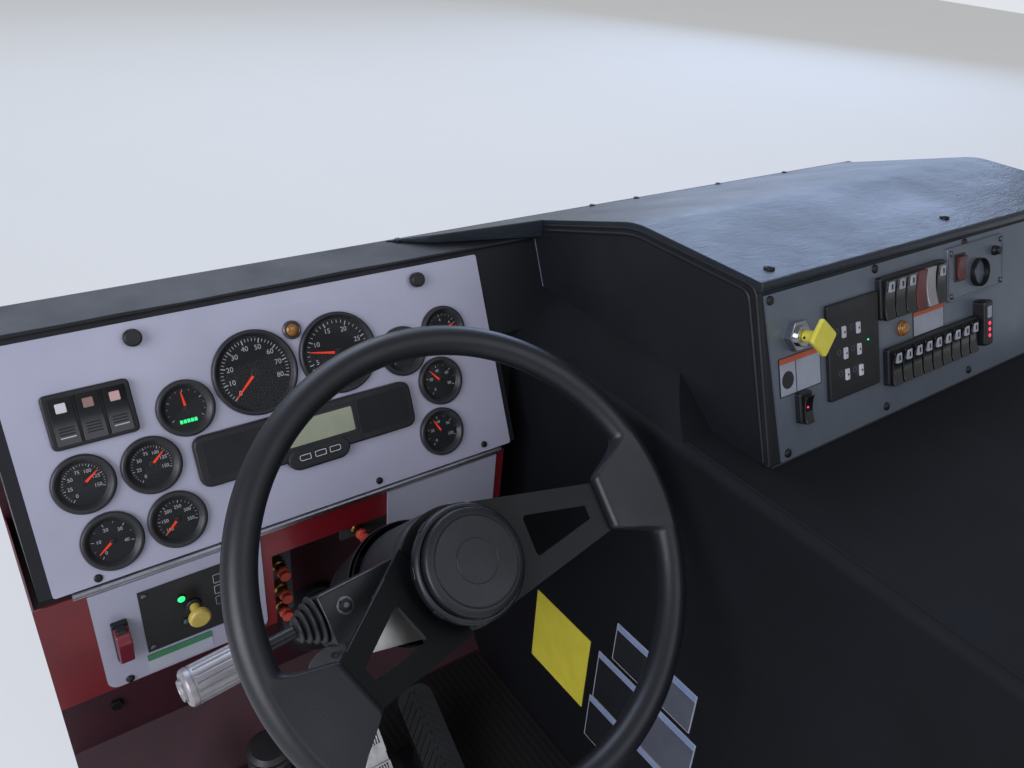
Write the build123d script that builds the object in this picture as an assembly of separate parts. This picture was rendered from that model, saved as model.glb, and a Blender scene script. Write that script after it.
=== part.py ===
from build123d import *
import os
from math import cos, hypot, radians, sin, sqrt, tan

# Fire engine driver's dashboard: dash with a hinged instrument panel, tilting steering
# column and wheel, pedals, centre switch console and engine cover, on the cab floor.
# Units are millimetres. X points to the right, Y forward in the vehicle, Z up.
# Places are measured from the left end of the dash hinge line, where the instrument
# panel meets the red apron. The whole assembly is moved at the end, so that its origin
# lies on the floor under the middle of its bounding box.

# Instrument panel
panel_width = 547.0
panel_height = 249.0
panel_thickness = 3.0
panel_tilt = 25.5            # degrees from upright, its top leaning forward
panel_corner = 3.0
window_margin = 9.0          # a fitted unit overlaps its window in the panel by this
wheel_offset = 52.0          # steering wheel's centre, right of the panel's middle
wheel_x = panel_width / 2 + wheel_offset

# Piano hinge along the panel's foot
knuckle_radius = 3.2
knuckle_count = 21
knuckle_gap = 0.3
hinge_pin_radius = 1.3
running_gap = 0.05
leaf_thickness = 1.2
leaf_margin = 16.0           # from each end of the panel to the hinge's end
leaf_height = 9.0
leaf_relief = 0.5            # round the other leaf's knuckles

# Floor and front wall
left_end = -20.0             # left end of the floor, the apron and the wall
wall_y = 163.0               # rear face of the front wall
wall_thickness = 3.0
wall_top_drop = 1.0          # wall top below the underside of the dash top
wall_flange = 16.0
stiffener_width = 30.0
stiffener_sheet = 3.0
stiffener_count = 6
stiffener_margin = 26.0      # from the wall's top and bottom
wall_bolt_radius = 5.5
wall_bolt_margin = 63.0      # from each end of the wall
wall_bolt_rise = 440.0       # between the two rows of bolts
floor_z = -497.0             # top of the floor mat
mat_thickness = 4.0
mat_margin = 6.0
mat_corner = 12.0
pan_thickness = 5.0
floor_rear = -420.0
toe_run = 78.0               # depth and height of the sloping toe board

# Dash
dash_left = -12.0
dash_thickness = 4.0
dash_foot = 1.0              # up the slope from the hinge line to the dash face
dash_margin = 14.0           # face left beside the panel's opening
dash_top_margin = 25.0       # face left behind the panel's top edge
dash_right_bar = 23.0        # face between the opening and the right cheek
panel_swing_gap = 5.5        # from the panel's top edge to the padded roll
roll_thickness = 7.0
roll_lip = 2.0               # roll over the top of the face
roll_radius = 5.5
roll_lip_radius = 2.5

# Apron
sheet = 2.0
apron_top = -8.0
apron_bottom = -153.0
apron_inset = 8.0            # from the panel's right edge
apron_flange = 15.0
opening_before = 107.5       # column opening: left and right of the column's middle
opening_after = 40.5
opening_left = wheel_x - opening_before
opening_right = wheel_x + opening_after
opening_top = -47.0
recess_y = 66.0              # front of the closing strip beside the engine cover
recess_gap = 0.5

# Silver plates on the apron: left, right, corner radius
lower_panel_thickness = 2.0
lower_panel_top = -12.0
lower_panel_bottom = -150.0
lower_panel_gap = 12.0       # from the left plate to the column opening
lower_panel_end = 21.0       # from the right plate to the panel's right edge
lower_panels = [
    (28.0, opening_left - lower_panel_gap, 12.0),
    (opening_right, panel_width - lower_panel_end, 8.0),
]
shift_plate_box = (73.0, 190.0, -116.0, -28.5)
shift_plate_thickness = 1.6
shift_knob_place = (126.0, -71.0)
shift_knob_reach = 26.0
shift_knob_radius = 11.0
shift_knob_depth = 7.0
shift_knob_edge = 2.0
shift_collar_depth = 4.0
shift_stem_radius = 6.0
# Lamps beside the shift knob: x, z
shift_lamps = [
    (114.5, -56.0),
    (116.5, -91.0),
]
shift_lamp_radius = 4.0
shift_lamp_height = 3.0
guard_place = (50.5, -82.5)
guard_size = (16.5, 53.0)
guard_base = 6.0
guard_wall = 1.0
# Side outline of the flip guard: up its height as a share, out from the plate
guard_outline = [
    (0.0, 8.0),
    (0.03, 13.0),
    (0.73, 22.0),
    (0.9, 19.0),
    (0.97, 8.0),
]

# Gauges: across and up the panel, size name, needle angle anticlockwise from the right
gauges = [
    (162.6, 150.3, "small", 95.0),
    (116.8, 102.0, "small", 40.0),
    (52.4, 102.1, "small", 35.0),
    (63.7, 38.5, "small", 215.0),
    (127.8, 39.3, "small", 220.0),
    (420.1, 152.3, "small", 30.0),
    (479.8, 165.5, "small", 20.0),
    (462.4, 105.1, "small", 130.0),
    (450.3, 42.9, "small", 118.0),
    (241.7, 169.2, "large", 222.0),
    (340.0, 169.0, "large", 168.0),
]
# Gauge sizes: rim radius, can radius, can depth
gauge_sizes = {
    "small": (30.0, 26.0, 52.0),
    "large": (47.0, 42.5, 50.0),
}
bezel_height = 6.0
bezel_wall = 4.0
bezel_lip = 1.0
bezel_chamfer = 1.8
hole_gap = 0.4
seat_gap = 0.1
lens_thickness = 1.5
dial_thickness = 1.5
needle_width = 1.8
needle_height = 0.8
needle_tail = 6.0
needle_tip_gap = 4.0
needle_boss_height = 1.3
needle_boss_share = 9.0      # rim radius over boss radius

# Display on the panel: left, right, bottom, top
display_box = (158.5, 416.0, 62.0, 118.0)
display_height = 9.0
display_corner = 11.0
display_edge = 2.0
screen_box = (172.5, 401.5, 72.5, 109.5)
screen_depth = 1.2
button_middle = (290.0, 64.0)
button_pitch = 18.5
button_size = (14.0, 7.5)
button_corner = 2.5
button_rise = 1.2
bulge_size = (66.0, 27.0)
bulge_corner = 12.0

# Rocker bank on the panel: left, right, bottom, top
rocker_bank_box = (34.0, 115.0, 140.0, 195.0)
rocker_bank_count = 3
rocker_bank_height = 7.0
rocker_bank_frame = 4.0
rocker_bank_gap = 1.5
rocker_bank_corner = 4.0

# Thumb latches and warning lamp on the panel
latch_drop = 16.5            # from the panel's top edge
latch_across = [128.8, 456.0]
latch_radius = 9.0
latch_height = 11.0
latch_edge = 1.2
latch_stud_radius = 2.5
latch_stud_depth = 7.0
latch_hole_gap = 3.0
lamp_place = (291.8, 205.8)
lamp_radius = 10.5
lamp_rim = 3.0
lamp_height = 7.0
lamp_rim_height = 3.5

# Steering wheel: heights are along its axis from the rim's plane
wheel_centre = (wheel_x, -255.0, 101.8)
wheel_axis_rise = 46.9       # degrees of the axis above level, towards the driver
wheel_turn = 11.5            # degrees that the wheel stands turned to the left
wheel_radius = 228.5
rim_tube_radius = 14.7
spoke_droop = 11.0           # degrees of each spoke below level, wheel straight
dish = 46.0                  # from the rim's plane down to the spokes' roots
spoke_thickness = 5.0
spoke_root = 54.0            # half widths of a spoke
spoke_tip = 18.0
spoke_start = 36.0           # along the spoke from the wheel's axis
spoke_end = 186.0
spoke_frame = 22.0           # metal left beside a spoke's hole
spoke_hole_start = 79.0
spoke_hole_end = 144.0
spoke_hole_corner = 4.0
spider_radius = 61.0
boss_start = 150.0
boss_inner = 27.0            # half width where the spoke enters
boss_upper_flare = 47.0
boss_lower_flare = 32.0
boss_thickness = 19.0
boss_rise = 6.0              # above the rim's plane
boss_corner = 4.0
boss_edge = 3.0
hub_radius = 57.0
hub_foot_radius = 49.0
hub_foot = 16.0              # heights up the hub from the spider
hub_flare = 20.0
hub_side = 29.0
hub_edge = 2.0
hub_shoulder = 31.0
cap_radius = 51.0
cap_groove = 2.5
cap_top = -8.0
cap_edge = 5.0
cap_ring = 8.2               # ring cut in the cap, in from its edge
cap_ring_depth = 1.2
lug_count = 8
lug_size = (12.0, 8.0, 2.0)

# Tilting head of the column
shaft_radius = 12.0
shaft_end = -152.0
shaft_flange_radius = 28.0
shaft_flange = 6.0
tilt_pivot = -170.0
tilt_pin_radius = 8.0
head_radius = 28.0
head_collar = 6.0
head_collar_height = 8.0
head_top = -70.0
head_below_pivot = 20.0
shroud_radius = 61.0
shroud_wall = 3.0
shroud_top_wall = 4.0
shroud_edge = 6.0
shroud_skirt = 22.0          # shroud below the pivot

# Fixed column
yoke_inner = 35.0
yoke_wall = 9.0
yoke_radius = 16.0
yoke_bridge = 14.0
yoke_bottom = -225.0
pin_overhang = 2.0
jacket_radius = 27.0
jacket_end_gap = 1.0         # tube's far edge short of the wall's stiffeners
cover_mouth = -176.0
cover_mouth_radius = 69.5
cover_end = -330.0
cover_end_radius = 52.0
cover_wall = 3.0
wall_boot_radius = 52.0
wall_boot_top = 34.0         # radius where it grips the jacket
wall_boot_length = 62.0
wall_hole_gap = 8.0
floor_boot_place = (-128.0, 20.0)       # right of the column's middle, forward
floor_boot_height = 104.0
floor_boot_radius = 30.0
floor_boot_fold = 6.0
floor_boot_rings = 7

# Switch box and signal lever, in the column's own directions turned about its axis
box_turn = 5.0               # degrees that the lever droops
box_left = -129.5
box_bottom = -14.0
box_top = 36.0
box_height = -100.0          # its middle along the axis
box_depth = 46.0
box_inside = 40.0
box_edge = 3.0
box_bolt_place = (-108.0, 16.5)
box_bolt_radius = 7.0
box_bolt_height = 4.0
boot_tip = -153.5
boot_base_radius = 24.0
boot_tip_radius = 12.0
boot_fold = 4.0
boot_ring_count = 4
lever_radius = 6.0
lever_up = 15.5
handle_radius = 20.0
handle_start = -176.0
handle_end = -250.0
handle_cap = -260.0
handle_neck = 10.0
handle_plain = 6.0
handle_flute_count = 18
handle_flute = 1.6
cap_step = (2.0, 5.0)        # in and along, of the handle's end cap
button_step = 6.0

# Pedals: places are right of the column's middle, forward and up
brake_place = (-28.0, -84.0, -350.0)
brake_pad_size = (32.0, 112.0, 14.0)
brake_pad_drop = 6.0         # the pad's middle below the arm's head
brake_pad_tilt = 40.0
brake_pad_corner = 6.0
brake_groove = (-24.5, -12.5, 4.0)      # across the pad: its lower edge, upper edge and depth
brake_rib_count = 8
brake_rib = (1.8, 1.5)
# Two groups of ribs on the pad: lower end, upper end
brake_rib_groups = [
    (-56.0, -28.0),
    (6.0, 47.0),
]
brake_arm_width = 16.0
# Side outline of the brake arm: forward from the pad's middle, up from it
brake_arm_top = [
    (-8.0, -8.0),
    (12.0, 9.0),
    (38.0, -18.0),
]
brake_arm_run = (30.0, 62.0)
brake_arm_foot = 34.0
bracket_size = (60.0, 80.0, 6.0)
treadle_place = (71.5, -96.0, -432.5)
treadle_size = (54.0, 205.0, 12.0)
treadle_tilt = 34.0
treadle_corner = 20.0
treadle_heel_inset = 8.0
treadle_rib_count = 15
treadle_rib_margin = 20.0
treadle_rib = (4.0, 2.5)
treadle_rib_slant = 44.0
treadle_prop = (24.0, 36.0)
treadle_heel = (40.0, 26.0, 24.0)

# Air fittings in the column opening: right of the column's middle, up
air_fittings = [
    (-82.5, -116.0),
    (-82.0, -154.0),
    (-83.5, -183.5),
    (24.5, -101.0),
]
fitting_reach = 30.0
fitting_radius = 6.5
fitting_nut = (9.0, 14.0)
fitting_plate_y = 60.0
fitting_plate_thickness = 3.0
fitting_plate_margin = 20.0
fitting_arm = 30.0           # bracket past each side of the opening

# Engine cover
cover_gap = 43.0             # from the panel's right edge to the cover
cover_rear = -800.0
cover_top = 128.0
cover_skin = 18.0
cover_edge = 12.0
cover_rear_edge = 7.0
shoulder_top = 171.5
shoulder_rear_top = -177.0
shoulder_rear_bottom = -238.0
shoulder_bulge = (25.0, 18.5)

# Centre console
console_gap = 98.0           # from the panel's right edge to the console
console_width = 746.0
console_top = 309.0
console_bend_y = -69.0
console_rear_top_y = -250.0
console_rear_bottom_y = -319.0
console_wall = 4.0
console_edge = 6.0
skin_thickness = 5.0
skin_overhang = 6.0
skin_edge = 3.0
wing_reach = 195.0           # wing over the dash top, from the console to its tip
wing_knee = (140.0, 133.0)   # its corner: from the console, forward place
wing_root_y = 95.0
switch_panel_height = 181.0
switch_panel_drop = 16.0
switch_panel_thickness = 2.0
switch_panel_insets = (6.0, 18.0, 10.0)     # left at the top and at the bottom, right
switch_opening_margin = 14.0

# Rear switch panel: places are across from the console's left side and down from its top
rear_origin_top = 314.0
brake_valve_place = (50.0, 65.5)
valve_nut_size = 30.0
valve_nut_height = 8.0
valve_collar_radius = 11.0
valve_collar_height = 12.0
valve_stem_radius = 6.5
valve_reach = 17.0
valve_flare = (12.0, 9.0)
diamond_size = 29.0
diamond_corner = 5.0
diamond_thickness = 8.0
# Boxes: left, right, top, bottom
control_block_box = (100.0, 192.5, 46.0, 157.0)
control_block_height = 5.0
control_block_corner = 3.0
control_button = (8.0, 16.0, 2.0)
# Buttons of the control block: across, down
control_buttons = [
    (125.7, 82.5),
    (151.9, 83.0),
    (127.8, 106.6),
    (152.8, 107.4),
    (129.5, 131.0),
    (155.0, 132.0),
]
upper_row_count = 6
lower_row_count = 9
single_row_count = 1
# Rocker rows: first middle across, middle down, count, pitch, width, height
rocker_rows = [
    (208.5, 59.5, upper_row_count, 21.4, 19.0, 48.0),
    (220.0, 143.5, lower_row_count, 21.3, 18.5, 42.0),
    (55.0, 148.5, single_row_count, 14.5, 13.0, 32.0),
]
row_frame = 3.0
row_height = 7.0
row_corner = 2.0
# Rise of a rocker above its frame: lower end, middle, upper end
rocker_rises = (4.5, 1.5, 6.0)
rocker_inset = 3.0
end_piece_box = (406.0, 426.0, 104.0, 163.0)
end_piece_height = 16.0
amber_lamp_place = (243.0, 103.0)
amber_lamp_radius = 8.0
amber_lamp_height = 7.0
socket_plate_box = (342.0, 476.0, 22.0, 89.0)
socket_plate_thickness = 3.0
socket_plate_corner = 3.0
socket_place = (412.0, 62.0)
socket_outer = 15.0
socket_rim = (3.0, 5.0)
socket_bore = 10.6
socket_depth = 42.0
socket_floor = 3.0
socket_switch_box = (360.0, 378.0, 35.0, 63.0)
socket_switch_height = 6.0
socket_knob_place = (452.0, 41.0)
socket_knob = (6.5, 9.0)

# Bare signs on the engine cover's left side: rear, front, bottom, top
sign_thickness = 1.0
side_signs = [
    (-167.0, -47.0, -387.0, -250.0),
    (-346.0, -206.0, -242.0, -172.0),
    (-362.0, -184.0, -336.0, -244.0),
    (-362.0, -181.0, -421.0, -338.0),
]

# Values that follow from the sizes above
beyond = 1000.0              # a cut's reach past every face
base_z = floor_z - mat_thickness - pan_thickness
cover_left = panel_width + cover_gap
console_left = panel_width + console_gap
console_right = console_left + console_width
cover_right = console_right + console_left - cover_left
apron_right = panel_width - apron_inset
slope_sin = sin(radians(panel_tilt))
slope_cos = cos(radians(panel_tilt))
hinge_w = panel_thickness / 2
hinge_v = (hinge_w * slope_cos - knuckle_radius) / slope_sin
hinge_z = hinge_v * slope_cos + hinge_w * slope_sin
knuckle_length = (panel_width - 2 * leaf_margin) / knuckle_count
lip_v = panel_height + panel_swing_gap
dash_face_height = lip_v + roll_lip
dash_top_y = dash_face_height * slope_sin
dash_top_z = dash_face_height * slope_cos
dash_right_edge = panel_width - dash_margin + dash_right_bar
pad_top = dash_top_z + roll_thickness
latch_v = panel_height - latch_drop
wall_top = dash_top_z - wall_top_drop - wall_thickness
front_end = wall_y + wall_thickness + wall_flange
top_slope = (pad_top - skin_thickness - console_top) / (wall_y - console_bend_y)
rear_run = console_rear_top_y - console_rear_bottom_y
rear_rise = console_top - cover_top
axis_y = -cos(radians(wheel_axis_rise))
axis_z = sin(radians(wheel_axis_rise))
wall_height = (wall_y - wheel_centre[1]) / axis_y      # of the wall along the wheel's axis
jacket_end = (front_end - jacket_end_gap - jacket_radius * axis_z - wheel_centre[1]) / axis_y
ring_radius = wheel_radius - rim_tube_radius
spider_top = -dish - spoke_thickness
plate_out = lower_panel_thickness + shift_plate_thickness

face_plane = Plane(origin=(0, 0, 0), x_dir=(1, 0, 0), z_dir=(0, -slope_cos, slope_sin))
on_face = face_plane.location
on_hinge = on_face * Pos(0, hinge_v, hinge_w)
wheel_plane = Plane(origin=wheel_centre, x_dir=(1, 0, 0), z_dir=(0, axis_y, axis_z))
on_column = wheel_plane.location
on_wheel = on_column * Rot(0, 0, wheel_turn)
on_lever = on_column * Rot(0, 0, box_turn) * Pos(box_left, lever_up, box_height) * Rot(0, -90, 0)
rear_plane = Plane(
    origin=(console_left, console_rear_top_y, console_top),
    x_dir=(1, 0, 0),
    z_dir=(0, -rear_rise, rear_run),
)
on_rear = rear_plane.location * Pos(0, rear_origin_top - console_top, 0)
from_foot = (Align.CENTER, Align.CENTER, Align.MIN)
assembly_shift = Pos(-(left_end + cover_right) / 2, -(cover_rear + front_end) / 2, -base_z)


def slab(x0, x1, y0, y1, z0, z1):
    """A box between two corners."""
    return Pos((x0 + x1) / 2, (y0 + y1) / 2, (z0 + z1) / 2) * Box(x1 - x0, y1 - y0, z1 - z0)


def side_profile(points, x0, x1):
    """A closed outline of (y, z) points, carried along X."""
    return extrude(Plane.YZ.offset(x0) * Polygon(*points, align=None), amount=x1 - x0, dir=(1, 0, 0))


def raised(points, height):
    """A closed outline of (x, y) points, carried upwards."""
    return extrude(Polygon(*points, align=None), amount=height, dir=(0, 0, 1))


def plate_on(place, u0, u1, v0, v1, w0, w1, corner=0.0):
    """A plate with rounded corners that stands on a sloping plane."""
    outline = Rectangle(u1 - u0, v1 - v0)
    if corner > 0:
        outline = RectangleRounded(u1 - u0, v1 - v0, corner)
    return place * Pos((u0 + u1) / 2, (v0 + v1) / 2, w0) * extrude(outline, amount=w1 - w0)


def disc_on(place, u, v, radius, w0, w1):
    """A round disc that stands on a sloping plane."""
    return place * Pos(u, v, w0) * Cylinder(radius, w1 - w0, align=from_foot)


def turned(points, place):
    """A closed outline of (radius, height) points, turned round the axis of a plane."""
    return place * revolve(Plane.XZ * Polygon(*points, align=None), Axis.Z)


def rocker_key(left, right, bottom, top, base, rises):
    """A rocker switch with a hollow face: rises are at its lower end, middle and upper end."""
    low_rise, middle_rise, high_rise = rises
    with BuildSketch(Plane.YZ.offset(left)) as section:
        with BuildLine():
            Polyline((top, base + high_rise), (top, base), (bottom, base), (bottom, base + low_rise))
            ThreePointArc(
                (bottom, base + low_rise),
                ((bottom + top) / 2, base + middle_rise),
                (top, base + high_rise),
            )
        make_face()
    return extrude(section.sketch, amount=right - left, dir=(1, 0, 0))


def floor_pan():
    """Floor sheet with its toe board folded up to the front wall."""
    fold = wall_y - toe_run
    top = base_z + pan_thickness
    outline = [
        (floor_rear, base_z),
        (fold + pan_thickness / 2, base_z),
        (wall_y, base_z + toe_run - pan_thickness / 2),
        (wall_y, top + toe_run),
        (fold, top),
        (floor_rear, top),
    ]
    return side_profile(outline, left_end, cover_left)


def floor_mat():
    """Rubber mat on the flat of the floor."""
    mat = slab(
        left_end + mat_margin, cover_left - mat_margin,
        floor_rear + mat_margin, wall_y - toe_run - mat_margin,
        floor_z - mat_thickness, floor_z,
    )
    return fillet(mat.edges().filter_by(Axis.Z), mat_corner)


def front_wall():
    """Front sheet of the cab, its top folded forward, with angle stiffeners on the far side."""
    far = wall_y + wall_thickness
    wall = slab(left_end, cover_right, wall_y, far, base_z, wall_top)
    wall = wall + slab(left_end, cover_right, wall_y, front_end, wall_top, wall_top + wall_thickness)
    pitch = (cover_right - left_end) / stiffener_count
    foot = base_z + stiffener_margin
    height = wall_top - stiffener_margin - foot
    for index in range(stiffener_count):
        x = left_end + pitch * (index + 0.5)
        angle = [
            (x, far),
            (x, front_end),
            (x + stiffener_width, front_end),
            (x + stiffener_width, front_end - stiffener_sheet),
            (x + stiffener_sheet, front_end - stiffener_sheet),
            (x + stiffener_sheet, far),
        ]
        wall = wall + Pos(0, 0, foot) * raised(angle, height)
    wall = wall - on_column * Pos(0, 0, wall_height) * Cylinder(
        jacket_radius + wall_hole_gap, 4 * wall_flange)
    mid_z = (base_z + wall_top) / 2
    bolt = Rot(90, 0, 0) * Cylinder(wall_bolt_radius, 2 * wall_flange)
    for x in (left_end + wall_bolt_margin, cover_right - wall_bolt_margin):
        for end in (-0.5, 0.5):
            wall = wall - Pos(x, wall_y, mid_z + end * wall_bolt_rise) * bolt
    return wall


def apron():
    """Red sheet under the dash, with its column opening, folds and closing strip."""
    far = recess_y + sheet
    skin = slab(left_end, apron_right, 0, sheet, apron_bottom, apron_top)
    skin = skin + slab(left_end, apron_right, 0, apron_flange, apron_bottom, apron_bottom + sheet)
    skin = skin + slab(left_end, left_end + sheet, 0, wall_y, apron_bottom, apron_top)
    skin = skin + slab(apron_right - sheet, apron_right, 0, far, apron_bottom, apron_top)
    skin = skin + slab(apron_right - sheet, cover_left, recess_y, far, apron_bottom, apron_top)
    skin = skin + slab(dash_right_edge + recess_gap, cover_left, recess_y, far, apron_top, cover_top)
    return skin - slab(
        opening_left, opening_right, -sheet, apron_flange + sheet, apron_bottom - sheet, opening_top)


def dash_body():
    """Dash moulding: sloping face with the panel's opening, top and two cheeks."""
    t = dash_thickness
    foot_y = dash_foot * slope_sin
    foot_z = dash_foot * slope_cos
    inner_y = dash_top_y + t / slope_cos - t * slope_sin / slope_cos
    outline = [
        (foot_y, foot_z),
        (dash_top_y, dash_top_z),
        (wall_y, dash_top_z),
        (wall_y, dash_top_z - t),
        (inner_y, dash_top_z - t),
        (foot_y + t / slope_cos, foot_z),
    ]
    body = side_profile(outline, dash_left, console_left)
    body = body - plate_on(
        on_face, dash_margin, panel_width - dash_margin, -panel_height, panel_height - dash_top_margin,
        -3 * t, t)
    body = body - slab(dash_right_edge, console_left + t, -wall_y, wall_y - sheet, -t, cover_top)
    left_cheek = [(foot_y, foot_z), (dash_top_y, dash_top_z), (wall_y, dash_top_z), (wall_y, foot_z)]
    right_cheek = [
        (foot_y, foot_z),
        (cover_top * slope_sin / slope_cos, cover_top),
        (recess_y, cover_top),
        (recess_y, foot_z),
    ]
    body = body + side_profile(left_cheek, dash_left, dash_left + t)
    body = body + side_profile(right_cheek, dash_right_edge - t, dash_right_edge)
    for u in latch_across:
        body = body - disc_on(on_face, u, latch_v, latch_stud_radius + latch_hole_gap, -3 * t, t)
    return body


def dash_top_pad():
    """Padded roll along the top of the dash, its rear edge turned down over the face."""
    t = roll_thickness
    lip_y = lip_v * slope_sin
    lip_z = lip_v * slope_cos
    crest = (dash_top_z + t - t * slope_sin) / slope_cos
    outline = [
        (lip_y, lip_z),
        (lip_y - t * slope_cos, lip_z + t * slope_sin),
        (crest * slope_sin - t * slope_cos, dash_top_z + t),
        (wall_y, dash_top_z + t),
        (wall_y, dash_top_z),
        (dash_top_y, dash_top_z),
    ]
    section = Plane.YZ.offset(dash_left) * Polygon(*outline, align=None)
    section = fillet(section.vertices().sort_by(Axis.Y)[1], roll_radius)
    section = fillet(section.vertices().sort_by(Axis.Y)[0], roll_lip_radius)
    return extrude(section, amount=console_left - dash_left, dir=(1, 0, 0))


def knuckle(index, radius, length):
    """A round bar on the hinge line, at one knuckle's place."""
    u = leaf_margin + knuckle_length * (index + 0.5)
    return on_hinge * Pos(u, 0, 0) * Cylinder(radius, length, rotation=(0, 90, 0))


def hinge_pin(radius, gap=0.0):
    """The pin on the hinge line, or its bore."""
    length = panel_width - 2 * leaf_margin + 2 * gap
    return on_hinge * Pos(panel_width / 2, 0, 0) * Cylinder(radius, length, rotation=(0, 90, 0))


def hinge_fixed_leaf():
    """Leaf on the apron, with its knuckles and the hinge pin."""
    leaf = slab(
        leaf_margin, panel_width - leaf_margin, -leaf_thickness, 0,
        lower_panel_top + leaf_thickness, hinge_z)
    for index in range(1, knuckle_count, 2):
        leaf = leaf - knuckle(index, knuckle_radius + leaf_relief, knuckle_length + knuckle_gap)
    for index in range(0, knuckle_count, 2):
        leaf = leaf + knuckle(index, knuckle_radius, knuckle_length - knuckle_gap)
    return leaf + hinge_pin(hinge_pin_radius)


def hinge_moving_leaf():
    """Leaf behind the panel, with the knuckles that turn on the pin."""
    leaf = plate_on(
        on_face, leaf_margin, panel_width - leaf_margin, hinge_v, leaf_height, -leaf_thickness, 0)
    for index in range(0, knuckle_count, 2):
        leaf = leaf - knuckle(index, knuckle_radius + leaf_relief, knuckle_length + knuckle_gap)
    for index in range(1, knuckle_count, 2):
        leaf = leaf + knuckle(index, knuckle_radius, knuckle_length - knuckle_gap)
    return leaf - hinge_pin(hinge_pin_radius + running_gap, leaf_margin)


def instrument_panel():
    """Flat silver panel, cut for its gauges, display, switches and latches."""
    plate = plate_on(on_face, 0, panel_width, 0, panel_height, 0, panel_thickness, panel_corner)
    deep = 2 * panel_thickness
    for u, v, size, _ in gauges:
        plate = plate - disc_on(on_face, u, v, gauge_sizes[size][1] + hole_gap, -deep, deep)
    for left, right, bottom, top in (display_box, rocker_bank_box):
        plate = plate - plate_on(
            on_face, left + window_margin, right - window_margin,
            bottom + window_margin, top - window_margin, -deep, deep)
    for u in latch_across:
        plate = plate - disc_on(on_face, u, latch_v, latch_stud_radius, -deep, deep)
    return plate


def gauge_bezels():
    """Round gauge rims that rest on the panel's face."""
    rims = []
    for u, v, size, _ in gauges:
        outer = gauge_sizes[size][0]
        inner = outer - bezel_wall
        lip = inner - bezel_lip
        outline = [
            (inner, 0),
            (outer, 0),
            (outer, bezel_height - bezel_chamfer),
            (outer - bezel_chamfer, bezel_height),
            (lip, bezel_height),
            (lip, bezel_height - bezel_lip),
            (inner, bezel_height - bezel_lip),
        ]
        rims.append(turned(outline, on_face * Pos(u, v, panel_thickness)))
    return Compound(children=rims)


def gauge_cans():
    """Gauge bodies through the panel, each with its dial face."""
    cans = []
    for u, v, size, _ in gauges:
        outer, radius, depth = gauge_sizes[size]
        dial = outer - bezel_wall - seat_gap
        can = disc_on(on_face, u, v, radius, -depth, panel_thickness)
        cans.append(can + disc_on(on_face, u, v, dial, panel_thickness, panel_thickness + dial_thickness))
    return Compound(children=cans)


def gauge_needles():
    """Pointers on the dials, each with its round boss."""
    needles = []
    low = panel_thickness + dial_thickness
    for u, v, size, angle in gauges:
        outer = gauge_sizes[size][0]
        tip = outer - bezel_wall - needle_tip_gap
        outline = [
            (-needle_tail, -needle_width / 2),
            (tip, -needle_width / 4),
            (tip, needle_width / 4),
            (-needle_tail, needle_width / 2),
        ]
        boss = Cylinder(outer / needle_boss_share, needle_boss_height, align=from_foot)
        needles.append(
            on_face * Pos(u, v, low) * Rot(0, 0, angle) * (raised(outline, needle_height) + boss))
    return Compound(children=needles)


def gauge_lenses():
    """Clear covers that sit behind the lip of each rim."""
    lenses = []
    top = panel_thickness + bezel_height - bezel_lip
    for u, v, size, _ in gauges:
        radius = gauge_sizes[size][0] - bezel_wall - seat_gap
        lenses.append(disc_on(on_face, u, v, radius, top - lens_thickness, top))
    return Compound(children=lenses)


def display_housing():
    """Long display unit with its window and a bulge with three outlined buttons."""
    left, right, bottom, top = display_box
    low = panel_thickness
    high = low + display_height
    mid_u, mid_v = button_middle
    width, height = bulge_size
    body = plate_on(on_face, left, right, bottom, top, low, high, display_corner)
    body = body + plate_on(
        on_face, mid_u - width / 2, mid_u + width / 2, mid_v - height / 2, mid_v + height / 2,
        low, high, bulge_corner)
    rim = body.faces().sort_by(Axis((0, 0, 0), face_plane.z_dir))[-1].outer_wire().edges()
    body = chamfer(rim, display_edge)
    s_left, s_right, s_bottom, s_top = screen_box
    body = body - plate_on(on_face, s_left, s_right, s_bottom + bulge_corner / 2, s_top,
                           high - screen_depth, high + display_edge, button_corner)
    width, height = button_size
    for index in (-1, 0, 1):
        u = mid_u + index * button_pitch
        body = body + plate_on(
            on_face, u - width / 2, u + width / 2, mid_v - height / 2, mid_v + height / 2,
            high - screen_depth, high + button_rise, button_corner)
    return body


def rocker_bank():
    """Frame with three rocker switches."""
    left, right, bottom, top = rocker_bank_box
    high = panel_thickness + rocker_bank_height
    bank = plate_on(on_face, left, right, bottom, top, panel_thickness, high, rocker_bank_corner)
    pitch = (right - left - 2 * rocker_bank_frame) / rocker_bank_count
    for index in range(rocker_bank_count):
        start = left + rocker_bank_frame + pitch * index
        bank = bank + on_face * rocker_key(
            start + rocker_bank_gap, start + pitch - rocker_bank_gap,
            bottom + rocker_bank_frame, top - rocker_bank_frame, high, rocker_rises)
    return bank


def panel_latches():
    """Thumb latches that hold the panel's top to the dash."""
    knobs = []
    for u in latch_across:
        knob = disc_on(on_face, u, latch_v, latch_radius, panel_thickness, panel_thickness + latch_height)
        knob = chamfer(knob.edges().filter_by(GeomType.CIRCLE), latch_edge)
        stud = disc_on(on_face, u, latch_v, latch_stud_radius, -latch_stud_depth, panel_thickness)
        knobs.append(knob + stud)
    return Compound(children=knobs)


def warning_lamp():
    """Round lamp in its bezel between the large gauges."""
    u, v = lamp_place
    low = panel_thickness
    rim = disc_on(on_face, u, v, lamp_radius, low, low + lamp_rim_height)
    return rim + disc_on(on_face, u, v, lamp_radius - lamp_rim, low, low + lamp_height)


def on_apron(x, z, out=0.0):
    """A place on the apron's face, its own Z pointing out towards the driver."""
    return Pos(x, -out, z) * Rot(90, 0, 0)


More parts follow.
